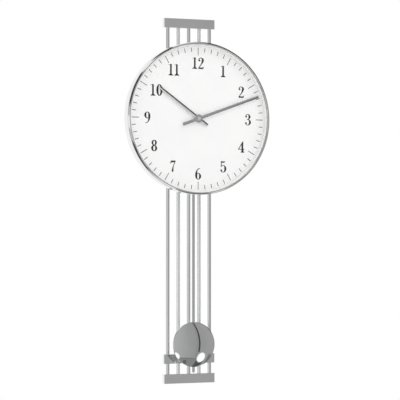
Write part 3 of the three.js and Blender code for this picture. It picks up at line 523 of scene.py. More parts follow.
def clear_glass():
    """Thin clear glass: what it doesn't reflect passes straight through.

    Light isn't bent inside, so the back face takes the inverse index and reflects like the front.
    """
    material = bpy.data.materials.new("clear_glass")
    material.use_nodes = True
    tree = material.node_tree
    tree.nodes.remove(tree.nodes["Principled BSDF"])
    behind = add_node(tree, "NewGeometry").outputs["Backfacing"]
    index = add_node(tree, "MapRange", Value=behind, To_Min=GLASS_INDEX, To_Max=1 / GLASS_INDEX)
    mirrored = add_node(tree, "Fresnel", IOR=index.outputs["Result"])
    mix = add_node(tree, "MixShader", Fac=mirrored.outputs["Fac"])
    tree.links.new(add_node(tree, "BsdfTransparent").outputs["BSDF"], mix.inputs[1])
    tree.links.new(add_node(tree, "BsdfGlossy", Roughness=0.01).outputs["BSDF"], mix.inputs[2])
    tree.links.new(mix.outputs["Shader"], tree.nodes["Material Output"].inputs["Surface"])
    return material


def moulded_plastic(name, dark, light, roughness):
    texture = noise(1800.0, detail=4.0)
    return finish(name, 0.0, tint=(noise(60.0, detail=4.0), dark, light),
                  polish=(texture, roughness - 0.06, roughness + 0.08),
                  relief=(texture, 0.12, 0.05), Specular_IOR_Level=0.45)


def white_enamel():
    peel = noise(900.0)
    return finish("white_dial_enamel", 0.0, tint=(noise(35.0), (0.905, 0.907, 0.905), (0.925, 0.925, 0.92)),
                  polish=(peel, 0.44, 0.56), relief=(peel, 0.06, 0.03), Specular_IOR_Level=0.35)


def printing_ink(name, dark, light):
    speckle = noise(2500.0)
    return finish(name, 0.0, tint=(speckle, dark, light), polish=(speckle, 0.48, 0.62))


def brass():
    marks = waves("RINGS", "Y", 500.0, 0.8)
    return finish("turned_brass", 1.0, tint=(noise(300.0), (0.64, 0.46, 0.2), (0.78, 0.59, 0.29)),
                  polish=(marks, 0.2, 0.36), relief=(marks, 0.1, 0.04))


def copper_wire():
    turns = waves("BANDS", "Y", 1600.0, 0.2)
    return finish("enamelled_copper_wire", 0.9, tint=(turns, (0.36, 0.12, 0.045), (0.7, 0.3, 0.13)),
                  polish=(turns, 0.22, 0.4), relief=(turns, 0.5, 0.1))


def board_green():
    tracks = waves("BANDS", "X", 330.0, 6.0)
    return finish("circuit_board", 0.0, tint=(tracks, (0.012, 0.085, 0.04), (0.03, 0.17, 0.08)),
                  polish=(noise(900.0), 0.28, 0.44), relief=(tracks, 0.15, 0.04),
                  contrast=(0.45, 0.55), Specular_IOR_Level=0.6)


def battery_jacket():
    sheen = noise(120.0, detail=4.0)
    return finish("battery_jacket", 0.0, tint=(sheen, (0.022, 0.06, 0.18), (0.04, 0.1, 0.26)),
                  polish=(noise(1500.0), 0.22, 0.36), Coat_Weight=0.3)


# the record's material slots, with the material that each one shows
FINISHES = {
    "chrome": chrome("polished_chrome", 0.905),
    "hand_metal": hand_metal(),
    "zinc_steel": zinc_steel(),
    "turned_steel": turned_steel(),
    "pan_steel": pan_steel(),
    "weight_iron": weight_iron(),
    "grey_rubber": grey_rubber(),
    "clear_glass": clear_glass(),
    "white_plastic": moulded_plastic("white_moulded_plastic", (0.9, 0.895, 0.88), (0.94, 0.94, 0.93), 0.42),
    "white_enamel": white_enamel(),
    "black_plastic": moulded_plastic(
        "black_moulded_plastic", (0.012, 0.012, 0.013), (0.024, 0.024, 0.026), 0.5),
    "gear_plastic": moulded_plastic("gear_nylon", (0.68, 0.66, 0.6), (0.78, 0.76, 0.7), 0.38),
    "brass": brass(),
    "copper_wire": copper_wire(),
    "board_green": board_green(),
    "battery_jacket": battery_jacket(),
}
DIAL_INK = printing_ink("dial_ink", (0.014, 0.014, 0.015), (0.03, 0.03, 0.032))
TICK_INK = printing_ink("tick_ink", (0.03, 0.03, 0.032), (0.05, 0.05, 0.052))
BOB_CHROME = chrome("bob_chrome", 0.8)
SATIN_CHROME = satin_chrome()


def add(name, solid, slot, body, replaces=(), material=None, smooth_under=30.0):
    """Turns a solid into a piece of the object that rides on a body."""
    bmesh.ops.recalc_face_normals(solid, faces=solid.faces)
    mesh = bpy.data.meshes.new(name)
    solid.to_mesh(mesh)
    solid.free()
    mesh.transform(Matrix.Scale(MM, 4))
    mesh.shade_smooth()
    mesh.set_sharp_from_angle(angle=math.radians(smooth_under))
    mesh.materials.append(material or FINISHES[slot])
    piece = bpy.data.objects.new(name, mesh)
    bpy.context.collection.objects.link(piece)
    weighted = piece.modifiers.new("flat_faces_stay_flat", "WEIGHTED_NORMAL")
    weighted.weight = 100
    weighted.keep_sharp = True
    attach(piece, body)
    if replaces:
        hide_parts(*replaces)
    return piece


def stand_in(node, solid, slot, body="frame", **looks):
    """Adds the piece that takes a CAD node's place."""
    return add(node + "_fine", solid, slot, body, [node], **looks)


# -------- rack of rods and bars

def rod_bore(x, y, low, high, flare_low, flare_high):
    """Cutter for one rod hole; a flared end leaves a small countersink at the mouth."""
    wide = BORE_RADIUS + BORE_FLARE
    profile = [(0, low - CUTTER_REACH * flare_low)]
    if flare_low:
        profile += [(wide, low - CUTTER_REACH), (wide, low), (BORE_RADIUS, low + BORE_FLARE)]
    else:
        profile += [(BORE_RADIUS, low)]
    if flare_high:
        profile += [(BORE_RADIUS, high - BORE_FLARE), (wide, high), (wide, high + CUTTER_REACH)]
    else:
        profile += [(BORE_RADIUS, high)]
    profile += [(0, high + CUTTER_REACH * flare_high)]
    return moved(upright(turned(profile, ROD_SIDES)), x, y)


def bar_block(node):
    low, high = box_mm(node)
    block = prism(rectangle(low.x, high.x, low.y, high.y), low.z, high.z, "Z")
    return softened(block, EDGE_ROUNDING, 4)


def rod_bores(node, open_below=True, open_above=True):
    low, high = box_mm(node)
    bottom = low.z if open_below else low.z + ROD_END_COVER
    top = high.z if open_above else high.z - ROD_END_COVER
    return [rod_bore(middle(name).x, middle(name).y, bottom, top, open_below, open_above)
            for name in ROD_NAMES]


def make_bars():
    for node, open_below, open_above in (
            ("top_bar", True, False), ("bottom_bar", False, True), ("lower_rail", True, True)):
        stand_in(node, cut(bar_block(node), *rod_bores(node, open_below, open_above)), "chrome")
    for node in ("upper_clamp_bar", "lower_clamp_bar"):
        low, high = box_mm(node)
        holes = [drill(STANDOFF_HOLE_RADIUS, (x, middle(node).z), low.y, high.y, ROD_SIDES)
                 for x in (-STANDOFF_X, STANDOFF_X)]
        stand_in(node, cut(bar_block(node), *rod_bores(node), *holes), "chrome")


def make_rods():
    for name in ROD_NAMES:
        low, high = box_mm(name)
        rod = upright(pillar(half_width(name), low.z, high.z, ROD_END_ROUNDING, sides=ROD_SIDES))
        stand_in(name, moved(rod, middle(name).x, middle(name).y), "chrome",
                 material=SATIN_CHROME if name in SATIN_RODS else None)


# -------- wall fixings

def cross_recess(y_back, at):
    """Cutter for a cross recess in a screw head."""
    arms = []
    for half_x, half_z in ((RECESS_HALF_WIDTH, RECESS_ARM), (RECESS_ARM, RECESS_HALF_WIDTH)):
        outline = rectangle(at[0] - half_x, at[0] + half_x, at[1] - half_z, at[1] + half_z)
        arms.append(prism(outline, y_back - RECESS_DEPTH, y_back + CUTTER_REACH))
    return joined(*arms)


def make_screw(node):
    """Pan-head screw along Y with a domed head towards the wall."""
    low, high = box_mm(node)
    at = seat(node)
    radius = half_width(node)
    head_height = LARGE_HEAD_HEIGHT if radius > LARGE_HEAD_RADIUS else HEAD_HEIGHT
    head_front = high.y - head_height
    profile = [(0, low.y), (SHANK_RADIUS - 0.4, low.y), (SHANK_RADIUS, low.y + 0.5),
               (SHANK_RADIUS, head_front), (radius - 0.15, head_front), (radius, head_front + 0.2)]
    profile += [(radius - 0.04 * step ** 2, head_front + head_height * (0.35 + 0.13 * step))
                for step in range(5)]
    profile += [(radius * 0.45, high.y - 0.03), (0, high.y)]
    stand_in(node, cut(turned(profile, at=at), cross_recess(high.y, at)), "zinc_steel")


def make_standoff(node):
    """Turned pillar with a riveted front end and a step down at the bar."""
    low, high = box_mm(node)
    pan_back = box_mm("back_pan")[1].y
    pan_front = pan_back - PAN_WALL - GAP
    bar_front = box_mm("upper_clamp_bar")[0].y
    radius = half_width(node)
    profile = [(0, low.y), (STANDOFF_RIVET_RADIUS, low.y), (STANDOFF_RIVET_RADIUS, pan_front),
               (STANDOFF_NECK_RADIUS, pan_front), (STANDOFF_NECK_RADIUS, pan_back + GAP),
               (radius, pan_back + GAP), (radius, bar_front - GAP),
               (STANDOFF_NECK_RADIUS, bar_front - GAP), (STANDOFF_NECK_RADIUS, high.y), (0, high.y)]
    stand_in(node, turned(rounded(profile, 0.35, 3, closed=False), at=seat(node)), "turned_steel")


def make_bumper(node):
    low, high = box_mm(node)
    stand_in(node, pillar(half_width(node), low.y, high.y, 1.3, 6, at=seat(node)), "grey_rubber")


def make_hanger_plate():
    """Bent steel strip with a keyhole, on the backs of the two clamp bars."""
    low, high = box_mm("hanger_plate")
    foot_start = high.z - FOOT_LENGTH
    flat_end = foot_start - PLATE_BEND
    foot_back = low.y + PLATE_THICKNESS
    flat_front = high.y - PLATE_THICKNESS
    half_side = [(high.y, flat_end), (foot_back, foot_start), (foot_back, high.z), (low.y, high.z),
                 (low.y, foot_start - PLATE_BEND_SHIFT), (flat_front, flat_end - PLATE_BEND_SHIFT)]
    side = half_side + [(y, -z) for y, z in reversed(half_side)]
    strip = prism(rounded(side, 0.7, 4), low.x, high.x, "X")
    slot_end = KEYHOLE_Z + KEYHOLE_RISE
    entry = prism(circle(KEYHOLE_RADIUS, (0, KEYHOLE_Z)), *KEYHOLE_CUT)
    rest = prism(circle(KEYHOLE_SLOT_RADIUS, (0, slot_end)), *KEYHOLE_CUT)
    neck = prism(rectangle(-KEYHOLE_SLOT_RADIUS, KEYHOLE_SLOT_RADIUS, KEYHOLE_Z, slot_end), *KEYHOLE_CUT)
    screw_holes = [drill(HANGER_HOLE_RADIUS, seat(name), low.y, high.y) for name in HANGER_SCREWS]
    stand_in("hanger_plate", cut(strip, joined(entry, rest, neck), *screw_holes), "zinc_steel")


def make_wall_fixings():
    make_hanger_plate()
    for node in HANGER_SCREWS + STANDOFF_SCREWS:
        make_screw(node)
    for node in STANDOFFS:
        make_standoff(node)
    make_bumper("wall_bumper_left")
    make_bumper("wall_bumper_right")


# -------- round head

def make_case_band():
    low, high = box_mm("case_band")
    stand_in("case_band", ring(high.x - BAND_WALL, high.x, low.y, high.y, 0.5, 5), "chrome")


def bezel_front(outer, front_y):
    """Outline from the sight edge over the crest and down the flank to the side."""
    first, last = BEZEL_FLANK
    first_sine, last_sine = (math.sin(math.radians(slope)) for slope in BEZEL_FLANK)
    crest = LIP_RADIUS + BEZEL_LIP_ROLL + BEZEL_FLAT
    spare = outer - crest - BEZEL_EDGE_ROLL * (1 + first_sine - last_sine)
    flank_radius = spare / (last_sine - first_sine)
    lip = arc(BEZEL_LIP_ROLL, (crest - BEZEL_FLAT, front_y + BEZEL_LIP_ROLL), 180, 270, 6)
    roll = arc(BEZEL_EDGE_ROLL, (crest, front_y + BEZEL_EDGE_ROLL), -90, first - 90, 8)
    flank_centre = (roll[-1][0] - flank_radius * first_sine,
                    roll[-1][1] + flank_radius * math.cos(math.radians(first)))
    flank = arc(flank_radius, flank_centre, first - 90, last - 90, 16)
    edge_centre = arc(flank_radius - BEZEL_EDGE_ROLL, flank_centre, first - 90, last - 90, 1)[-1]
    edge = arc(BEZEL_EDGE_ROLL, edge_centre, last - 90, 0, 8)
    return lip + roll + flank[1:] + edge[1:]


def make_bezel():
    """Polished ring: a sloping flank, a lip over the glass and a skirt inside the band."""
    low, high = box_mm("bezel")
    outer = high.x
    seat_y = box_mm("glass")[0].y - GAP
    side_end = box_mm("case_band")[0].y - GAP
    back = [(outer, side_end), (SKIRT_RADIUS, side_end), (SKIRT_RADIUS, high.y),
            (GLASS_SEAT_RADIUS, high.y), (GLASS_SEAT_RADIUS, seat_y)]
    profile = [(LIP_RADIUS, seat_y)] + bezel_front(outer, low.y) + back
    stand_in("bezel", turned(profile, RING_SIDES), "chrome")


def make_glass():
    low, high = box_mm("glass")
    stand_in("glass", pillar(high.x, low.y, high.y, 0.35, 4, RING_SIDES), "clear_glass")


def make_spacer_ring():
    """White ring between glass and dial, whose inside slopes towards the middle of the dial."""
    low, high = box_mm("spacer_ring")
    outer = high.x
    profile = [(outer - SPACER_FRONT_WIDTH, low.y), (outer, low.y), (outer, high.y),
               (outer - SPACER_BACK_WIDTH, high.y)]
    stand_in("spacer_ring", turned(rounded(profile, 0.2, 3), RING_SIDES), "white_plastic")


def make_back_pan():
    """Pressed pan with an opening for the movement that runs down into the pendulum's slot."""
    low, high = box_mm("back_pan")
    rim = high.x
    band_back = box_mm("case_band")[1].y
    shoulder_step, shoulder_start, shoulder_end = PAN_SHOULDER
    shoulder = rim - shoulder_step
    corner = PAN_BACK_RADIUS + PAN_CORNER[0]
    corner_y = high.y - PAN_CORNER[1]
    outside = [(rim, low.y), (rim, band_back + shoulder_start), (shoulder, band_back + shoulder_end),
               (corner, corner_y), (PAN_BACK_RADIUS, high.y)]
    inside = [(PAN_BACK_RADIUS - PAN_WALL, high.y - PAN_WALL), (corner - PAN_WALL, corner_y - PAN_WALL),
              (shoulder - PAN_WALL, band_back + shoulder_end),
              (rim - PAN_WALL, band_back + shoulder_start), (rim - PAN_WALL, low.y)]
    profile = [(0, high.y - PAN_WALL)] + rounded(inside, 1.2, 4, closed=False)
    profile += rounded(outside, 1.2, 4, closed=False) + [(0, high.y)]
    opening = prism(rounded(rectangle(*PAN_OPENING), PAN_OPENING_ROUNDING),
                    high.y - 3, high.y + CUTTER_REACH)
    slot_outline = rectangle(-PENDULUM_SLOT_HALF_WIDTH, PENDULUM_SLOT_HALF_WIDTH,
                             -rim - 2, PAN_OPENING[2] + 1)
    slot = prism(slot_outline, middle("pendulum_strip").y - PENDULUM_SLOT_LEAD, high.y + CUTTER_REACH)
    rivet_holes = [drill(RIVET_HOLE_RADIUS, (x, z), high.y - PAN_WALL, high.y)
                   for x in (-STANDOFF_X, STANDOFF_X) for z in (-STANDOFF_Z, STANDOFF_Z)]
    stand_in("back_pan", cut(turned(profile, RING_SIDES), joined(opening, slot), *rivet_holes),
             "pan_steel")


# -------- dial

def spline(points, steps=8):
    """A smooth run through points of any dimension."""
    padded = [points[0]] + list(points) + [points[-1]]
    result = []
    for index in range(1, len(padded) - 2):
        before, start, end, after = (Vector(point) for point in padded[index - 1:index + 3])
        for step in range(steps):
            t = step / steps
            result.append(0.5 * (
                2 * start + (end - before) * t + (2 * before - 5 * start + 4 * end - after) * t ** 2
                + (3 * start - before - 3 * end + after) * t ** 3))
    result.append(Vector(points[-1]))
    return result


def pen_stroke(points):
    """A stroke of ink through points of (x, z, width)."""
    line = spline(points)
    left = []
    right = []
    for index, (x, z, width) in enumerate(line):
        ahead = line[min(index + 1, len(line) - 1)]
        behind = line[max(index - 1, 0)]
        side = Vector((behind[1] - ahead[1], ahead[0] - behind[0])).normalized() * width / 2
        left.append((x + side.x, z + side.y))
        right.append((x - side.x, z - side.y))
    return ink(left + right[::-1])


def oval_points(centre, radius_x, radius_z, sides=48):
    return [(centre[0] + radius_x * x, centre[1] + radius_z * z) for x, z in circle(1.0, sides=sides)]


# numerals are drawn one unit high: thick uprights, hairline joins and ball ends
THICK = 0.18
STEM = 0.145                     # of the figure 1
HAIR = 0.065
LOWER_BOWL = [(0.15, 0.52, 0.12), (0.185, 0.32, THICK), (0.14, 0.12, 0.12), (-0.01, 0.03, HAIR),
              (-0.14, 0.07, HAIR), (-0.195, 0.18, HAIR)]


def ink(outline):
    return prism(outline, 0.0, 1.0)


def ball(x, z, radius=0.08):
    return ink(circle(radius, (x, z), 24))


def ring_of_ink(centre, radius_x, radius_z, thick):
    outer = ink(oval_points(centre, radius_x + thick / 2, radius_z + HAIR / 2))
    inner = prism(oval_points(centre, radius_x - thick / 2, radius_z - HAIR / 2), -1.0, 2.0)
    return cut(outer, inner)


def foot_serif(x, reach):
    """Hairline foot that curves up into an upright."""
    half = STEM / 2
    outline = [(x - reach, 0), (x + reach, 0), (x + reach, HAIR * 0.8), (x + half, HAIR * 2.2),
               (x + half, 0.14), (x - half, 0.14), (x - half, HAIR * 2.2), (x - reach, HAIR * 0.8)]
    return ink(rounded(outline, 0.05, 3))


def numeral_0():
    return ring_of_ink((0, 0.5), 0.17, 0.472, THICK)


def numeral_1():
    stem = ink(rectangle(-STEM / 2, STEM / 2, 0.02, 1.0))
    flag = ink([(-0.2, 0.945), (-0.2, 0.915), (-0.1, 0.93), (0, 0.87), (0, 1.0), (-0.08, 0.97)])
    return joined(stem, flag, foot_serif(0, 0.205))


def numeral_2():
    crook = pen_stroke([
        (-0.19, 0.77, HAIR), (-0.155, 0.9, HAIR), (-0.03, 0.97, HAIR), (0.1, 0.92, 0.11),
        (0.15, 0.79, THICK), (0.12, 0.63, 0.15), (0.04, 0.45, 0.09), (-0.08, 0.27, HAIR),
        (-0.21, 0.08, HAIR)])
    foot = ink(rounded([
        (-0.235, 0), (0.195, 0), (0.225, 0.22), (0.195, 0.215), (0.15, 0.14), (0.02, 0.125),
        (-0.1, 0.145), (-0.19, 0.09), (-0.235, 0.03)], 0.03, 3))
    return joined(crook, foot, ball(-0.15, 0.75))


def numeral_3():
    top = pen_stroke([
        (-0.18, 0.79, HAIR), (-0.13, 0.92, HAIR), (-0.01, 0.97, HAIR), (0.1, 0.91, 0.11),
        (0.14, 0.77, 0.18), (0.105, 0.62, 0.11), (0.02, 0.54, HAIR), (-0.07, 0.525, HAIR)])
    bowl = pen_stroke([
        (-0.07, 0.525, HAIR), (0.06, 0.5, HAIR), (0.16, 0.4, 0.13), (0.18, 0.27, THICK),
        (0.13, 0.1, 0.12), (-0.01, 0.03, HAIR), (-0.14, 0.07, HAIR), (-0.195, 0.19, HAIR)])
    return joined(top, bowl, ball(-0.145, 0.775), ball(-0.16, 0.205))


def numeral_4():
    stem = ink([(0.015, 0.02), (0.175, 0.02), (0.175, 1.0), (0.13, 1.0), (0.015, 0.8)])
    slope = pen_stroke([(0.14, 0.975, HAIR), (-0.24, 0.3, HAIR)])
    level = ink(rectangle(-0.27, 0.245, 0.265, 0.265 + HAIR))
    tick = ink([(0.225, 0.2), (0.255, 0.2), (0.255, 0.38), (0.235, 0.38), (0.21, 0.285)])
    return joined(stem, slope, level, tick, foot_serif(0.1, 0.16))


def numeral_5():
    flag = ink(rounded([(-0.17, 0.86), (0.0, 0.845), (0.13, 0.875), (0.19, 0.99), (0.17, 1.0),
                        (0.1, 0.975), (0.0, 0.985), (-0.17, 1.0)], 0.03, 3))
    edge = ink(rectangle(-0.195, -0.195 + HAIR, 0.49, 0.995))
    bowl = pen_stroke([(-0.185, 0.5, HAIR), (-0.1, 0.595, HAIR), (0.03, 0.62, 0.045)] + LOWER_BOWL)
    return joined(flag, edge, bowl, ball(-0.155, 0.195))


def numeral_6():
    back = pen_stroke([
        (0.15, 0.975, HAIR), (0.03, 0.94, HAIR), (-0.08, 0.83, 0.08), (-0.145, 0.63, 0.14),
        (-0.165, 0.4, THICK), (-0.15, 0.2, 0.15), (-0.09, 0.07, 0.08), (0.0, 0.03, HAIR)])
    bowl = pen_stroke([
        (0.0, 0.03, HAIR), (0.09, 0.07, 0.08), (0.15, 0.18, 0.15), (0.165, 0.31, THICK),
        (0.135, 0.46, 0.12), (0.04, 0.56, HAIR), (-0.06, 0.54, HAIR), (-0.13, 0.46, HAIR)])
    return joined(back, bowl)


def numeral_7():
    bar = ink(rounded([(-0.18, 0.9), (-0.21, 0.79), (-0.25, 0.73), (-0.21, 0.71), (-0.14, 0.81),
                       (0.0, 0.84), (0.2, 0.84), (0.225, 1.0), (0.0, 0.99), (-0.16, 1.0)], 0.03, 3))
    slope = pen_stroke([(0.205, 0.95, HAIR), (0.15, 0.78, HAIR), (0.05, 0.54, HAIR),
                            (-0.005, 0.3, 0.11), (-0.02, 0.09, 0.16)])
    return joined(bar, slope, ball(-0.02, 0.085))


def numeral_8():
    top = ring_of_ink((0, 0.75), 0.145, 0.215, 0.15)
    bottom = ring_of_ink((0, 0.268), 0.165, 0.24, 0.17)
    return joined(top, bottom)


def numeral_9():
    solid = numeral_6()
    bmesh.ops.rotate(solid, cent=(0, 0, 0.5), matrix=Matrix.Rotation(math.pi, 3, "Y"), verts=solid.verts)
    return solid


NUMERALS = [numeral_0, numeral_1, numeral_2, numeral_3, numeral_4,
            numeral_5, numeral_6, numeral_7, numeral_8, numeral_9]
PAIR_SPACING = {"10": 0.54, "11": 0.5, "12": 0.53}
NUDGES = {"10": (2.8, -0.4), "11": (1.4, 0.0), "12": (-0.3, 0.0)}     # off the circle, x and z


def hour_number(hour):
    """The numerals of one hour, upright, centred on its place on the dial."""
    text = str(hour)
    spacing = PAIR_SPACING.get(text, 0.0)
    turn = math.radians(30 * hour)
    solids = []
    for index, character in enumerate(text):
        solid = NUMERALS[int(character)]()
        x = (index - (len(text) - 1) / 2) * spacing
        moved(solid, x, 0.0, -0.5)
        bmesh.ops.scale(solid, vec=(NUMERAL_WIDTH, 1, NUMERAL_HEIGHT), verts=solid.verts)
        solids.append(solid)
    nudge_x, nudge_z = NUDGES.get(text, (0.0, 0.0))
    x = NUMERAL_RADIUS_X * math.sin(turn) + nudge_x
    z = NUMERAL_RADIUS_Z * math.cos(turn) + nudge_z
    return moved(gathered(solids), x, 0, z)


def minute_tick(minute):
    inner = HOUR_TICK_INNER_RADIUS if minute % 5 == 0 else MINUTE_TICK_INNER_RADIUS
    tick = prism(rectangle(-TICK_WIDTH / 2, TICK_WIDTH / 2, inner, TICK_OUTER_RADIUS), 0.0, 1.0)
    turn = Matrix.Rotation(math.radians(6 * minute), 4, "Y")
    bmesh.ops.transform(tick, matrix=turn, verts=tick.verts)
    return tick


def printed(solids, face_y):
    """Ink that stands a little proud of the dial's face."""
    solid = gathered(solids)
    bmesh.ops.scale(solid, vec=(1, 2 * PRINT_PROUD, 1), verts=solid.verts)
    return moved(solid, 0, face_y - PRINT_PROUD)


def make_dial():
    low, high = box_mm("dial")
    plate = ring(DIAL_HOLE_RADIUS, high.x, low.y, high.y, 0.2)
    add("dial_plate", plate, "white_enamel", "frame", ["dial"])
    add("dial_numerals", printed([hour_number(hour) for hour in range(1, 13)], low.y),
        "black_plastic", "frame", material=DIAL_INK)
    add("dial_ticks", printed([minute_tick(minute) for minute in range(60)], low.y),
        "black_plastic", "frame", material=TICK_INK)


# -------- hands

def baton(hand, front_y, back_y):
    """Tapered bar with a ridge along its middle, pointing up."""
    solid = bmesh.new()
    ends = []
    for z, half in ((-hand["tail"], hand["butt"] / 2), (hand["reach"], hand["tip"] / 2)):
        side_y = front_y + half * math.tan(math.radians(HAND_SLOPE))
        section = [(-half, back_y), (half, back_y), (half, side_y), (0, front_y), (-half, side_y)]
        ends.append([solid.verts.new((x, y, z)) for x, y in section])
    for corners in ends:
        solid.faces.new(corners)
    for index in range(5):
        following = (index + 1) % 5
        solid.faces.new([ends[0][index], ends[0][following], ends[1][following], ends[1][index]])
    bmesh.ops.recalc_face_normals(solid, faces=solid.faces)
    return solid


def make_hand(node, hand, body, painted_highlight=None):
    """Ridged hand with its hub; the material given for its left facet, if any, is a painted highlight that
    makes that facet read bright.
    """
    low, high = box_mm(node)
    hub = pillar(hand["hub"], low.y, high.y, 0.25, 4, 96)
    bore = drill(hand["bore"], (0, 0), low.y, high.y, ROD_SIDES)
    solid = cut(joined(baton(hand, low.y + RIDGE_SETBACK, high.y), hub), bore)
    solid.normal_update()
    for face in solid.faces:
        # the left facet takes the second material, a painted highlight, when one is given
        highlight_painted_facet = -0.2 < face.normal.x < -0.1 and face.normal.y < -0.9
        face.material_index = 1 if painted_highlight and highlight_painted_facet else 0
    turn = Matrix.Rotation(math.radians(hand["angle"]), 4, "Y")
    bmesh.ops.transform(solid, matrix=turn, verts=solid.verts)
    piece = stand_in(node, solid, "hand_metal", body, smooth_under=12.0)
    if painted_highlight:
        piece.data.materials.append(painted_highlight)


def make_hand_cap():
    """Button that covers the ends of the arbors: nine tenths of it is a dome."""
    low, high = box_mm("hand_cap")
    radius = high.x
    rim_y = high.y - 0.2
    turns = [math.radians(angle) for angle in range(0, 91, 10)]
    profile = [(0.9 * radius * math.sin(turn), rim_y - (rim_y - low.y) * math.cos(turn)) for turn in turns]
    profile += [(radius, high.y - 0.15), (radius, high.y), (0, high.y)]
    stand_in("hand_cap", turned(profile, 64), "chrome", "minute_work", material=SATIN_CHROME)


def make_hands():
    # the hour hand's left facet gets a painted highlight
    make_hand("hour_hand", HOUR_HAND, "hour_work", painted_highlight=frosted_silver())
    make_hand("minute_hand", MINUTE_HAND, "minute_work")
    make_hand_cap()


# -------- movement

def make_rear_shell():
    """Back half of the movement's case, with a battery bay and a raised ring round the knob's hole."""
    low, high = box_mm("movement_rear_shell")
    block = prism(rounded(rectangle(low.x, high.x, low.z, high.z), SHELL_CORNER), low.y, high.y)
    block = softened(block, 0.5, 3)
    inside = rectangle(low.x + SHELL_WALL, high.x - SHELL_WALL, low.z + SHELL_WALL, high.z - SHELL_WALL)
    hollow = prism(rounded(inside, SHELL_CORNER - SHELL_WALL), low.y - CUTTER_REACH, high.y - SHELL_WALL)
    cell_low, cell_high = box_mm("battery")
    left = low.x + SHELL_WALL
    right = cell_high.x + BAY_MARGIN_X
    bottom = cell_low.z - BAY_MARGIN_Z
    top = cell_high.z + BAY_MARGIN_Z
    bay_walls = prism(rectangle(left - 0.5, right + 1, bottom - 1, top + 1), low.y, high.y - 0.6)
    bay = prism(rounded(rectangle(left, right, bottom, top), 1.0),
                low.y - CUTTER_REACH, high.y + CUTTER_REACH)
    knob_at = seat("setting_knob")
    knob_ring = ring(*KNOB_RING, high.y - 0.4, high.y + 0.4, 0.2, sides=64, at=knob_at)
    ribs = []
    for index in range(GRIP_RIBS):
        rib_x = GRIP_RIB_X + GRIP_RIB_PITCH * index
        outline = rectangle(rib_x, rib_x + GRIP_RIB_WIDTH, *GRIP_RIB_Z)
        ribs.append(prism(outline, high.y - 0.4, high.y + 0.35))
    holes = [drill(radius, at, high.y - 2, high.y) for radius, at in (
        (SPINDLE_HOLE_RADIUS, knob_at), (PIVOT_HOLE_RADIUS, (0, PIVOT_Z)), (CENTRE_HOLE_RADIUS, (0, 0)))]
    shell = joined(cut(block, hollow), bay_walls, knob_ring, *ribs)
    stand_in("movement_rear_shell", cut(shell, bay, *holes), "black_plastic")


def make_battery():
    """AA cell: printed jacket with a plain band, bare steel ends."""
    low, high = box_mm("battery")
    radius = half_width("battery")
    half = (high.z - low.z) / 2

    def cell_part(name, solid, slot, replaces=()):
        add(name, moved(upright(solid), *middle("battery")), slot, "battery", replaces)

    jacket = [(0, -half + 0.35), (radius - 0.7, -half + 0.35), (radius - 0.3, -half), (radius, -half + 0.4),
              (radius, half - 2.3), (radius - 0.35, half - 1.6), (radius - 1.2, half - 1.35),
              (0, half - 1.35)]
    cell_part("battery_jacket_fine", turned(jacket, 64), "battery_jacket", ["battery"])
    cell_part("battery_button", pillar(BUTTON_RADIUS, half - 1.45, half, 0.3, sides=48), "zinc_steel")
    band_start, band_end = BATTERY_BAND
    band = turned(rectangle(radius - 0.2, radius, half - band_start, half - band_end), 64)
    bmesh.ops.scale(band, vec=(1.0015, 1.0, 1.0015), verts=band.verts)
    cell_part("battery_band", band, "brass")


def gear_outline(teeth, root, tip, at, first_tooth=0.0):
    """Toothed outline; first_tooth is the angle of one tooth's middle, in degrees."""
    points = []
    pitch = 2 * math.pi / teeth
    for tooth in range(teeth):
        for share, radius in ((-0.25, root), (-0.09, tip), (0.09, tip), (0.25, root)):
            turn = math.radians(first_tooth) + (tooth + share) * pitch
            points.append((at[0] + radius * math.cos(turn), at[1] + radius * math.sin(turn)))
    return points


def make_setting_knob():
    """Ribbed thumb knob on a spindle, with its pinion inside the movement."""
    low, high = box_mm("setting_knob")
    at = seat("setting_knob")
    radius = half_width("setting_knob")
    head_front = box_mm("movement_rear_shell")[1].y + 0.35
    head = prism(gear_outline(KNOB_RIBS, radius - 0.35, radius, at), head_front, high.y)
    head = softened(head, 0.12, 2, 60)
    dish_front = high.y - 0.6
    dish_back = high.y + 0.5
    dish = turned([(0, dish_front), (radius - 2.2, dish_front), (radius - 1.4, dish_back), (0, dish_back)],
                  64, at)
    spindle = prism(circle(SPINDLE_RADIUS, at, SCREW_SIDES), low.y, high.y - 1)
    pinion = prism(gear_outline(at=at, **KNOB_PINION), *KNOB_PINION_LAYER)
    stand_in("setting_knob", joined(cut(head, dish), spindle, pinion), "white_plastic", "setting_knob")


def make_pivot_pin():
    """Steel pin with a flat head behind."""
    low, high = box_mm("pivot_pin")
    head_front = high.y - 0.7
    profile = [(0, low.y), (1.0, low.y), (1.0, head_front), (2.1, head_front), (2.1, high.y), (0, high.y)]
    stand_in("pivot_pin", turned(rounded(profile, 0.25, 3, closed=False), at=seat("pivot_pin")),
             "turned_steel")


# -------- pendulum

def make_pendulum_hanger():
    """Moulded lever: pivot hole in the middle, magnet seat above, hook peg below."""
    low, high = box_mm("pendulum_hanger")
    plate_back = low.y + 0.8
    foot_z = HOOK_Z - 3
    waist_low = PIVOT_Z - 3
    waist_high = PIVOT_Z + 3
    head_z = MAGNET_Z + 3.6
    outline = [(-2.2, foot_z), (2.2, foot_z), (3, waist_low), (3, waist_high), (3.8, head_z),
               (-3.8, head_z), (-3, waist_high), (-3, waist_low)]
    lever = softened(prism(rounded(outline, 1.0, 5), low.y, plate_back), 0.12, 2)
    peg_front = low.y + 0.2
    collar_front = box_mm("pendulum_strip")[1].y + 0.4
    peg = [(0, peg_front), (PEG_RADIUS, peg_front), (PEG_RADIUS, collar_front),
           (PEG_COLLAR_RADIUS, collar_front), (PEG_COLLAR_RADIUS, high.y), (0, high.y)]
    peg = turned(rounded(peg, 0.2, 3, closed=False), at=(0, HOOK_Z))
    pin_hole = drill(PIVOT_HOLE_RADIUS, (0, PIVOT_Z), low.y, plate_back)
    stand_in("pendulum_hanger", cut(joined(lever, peg), pin_hole), "white_plastic", "pendulum")


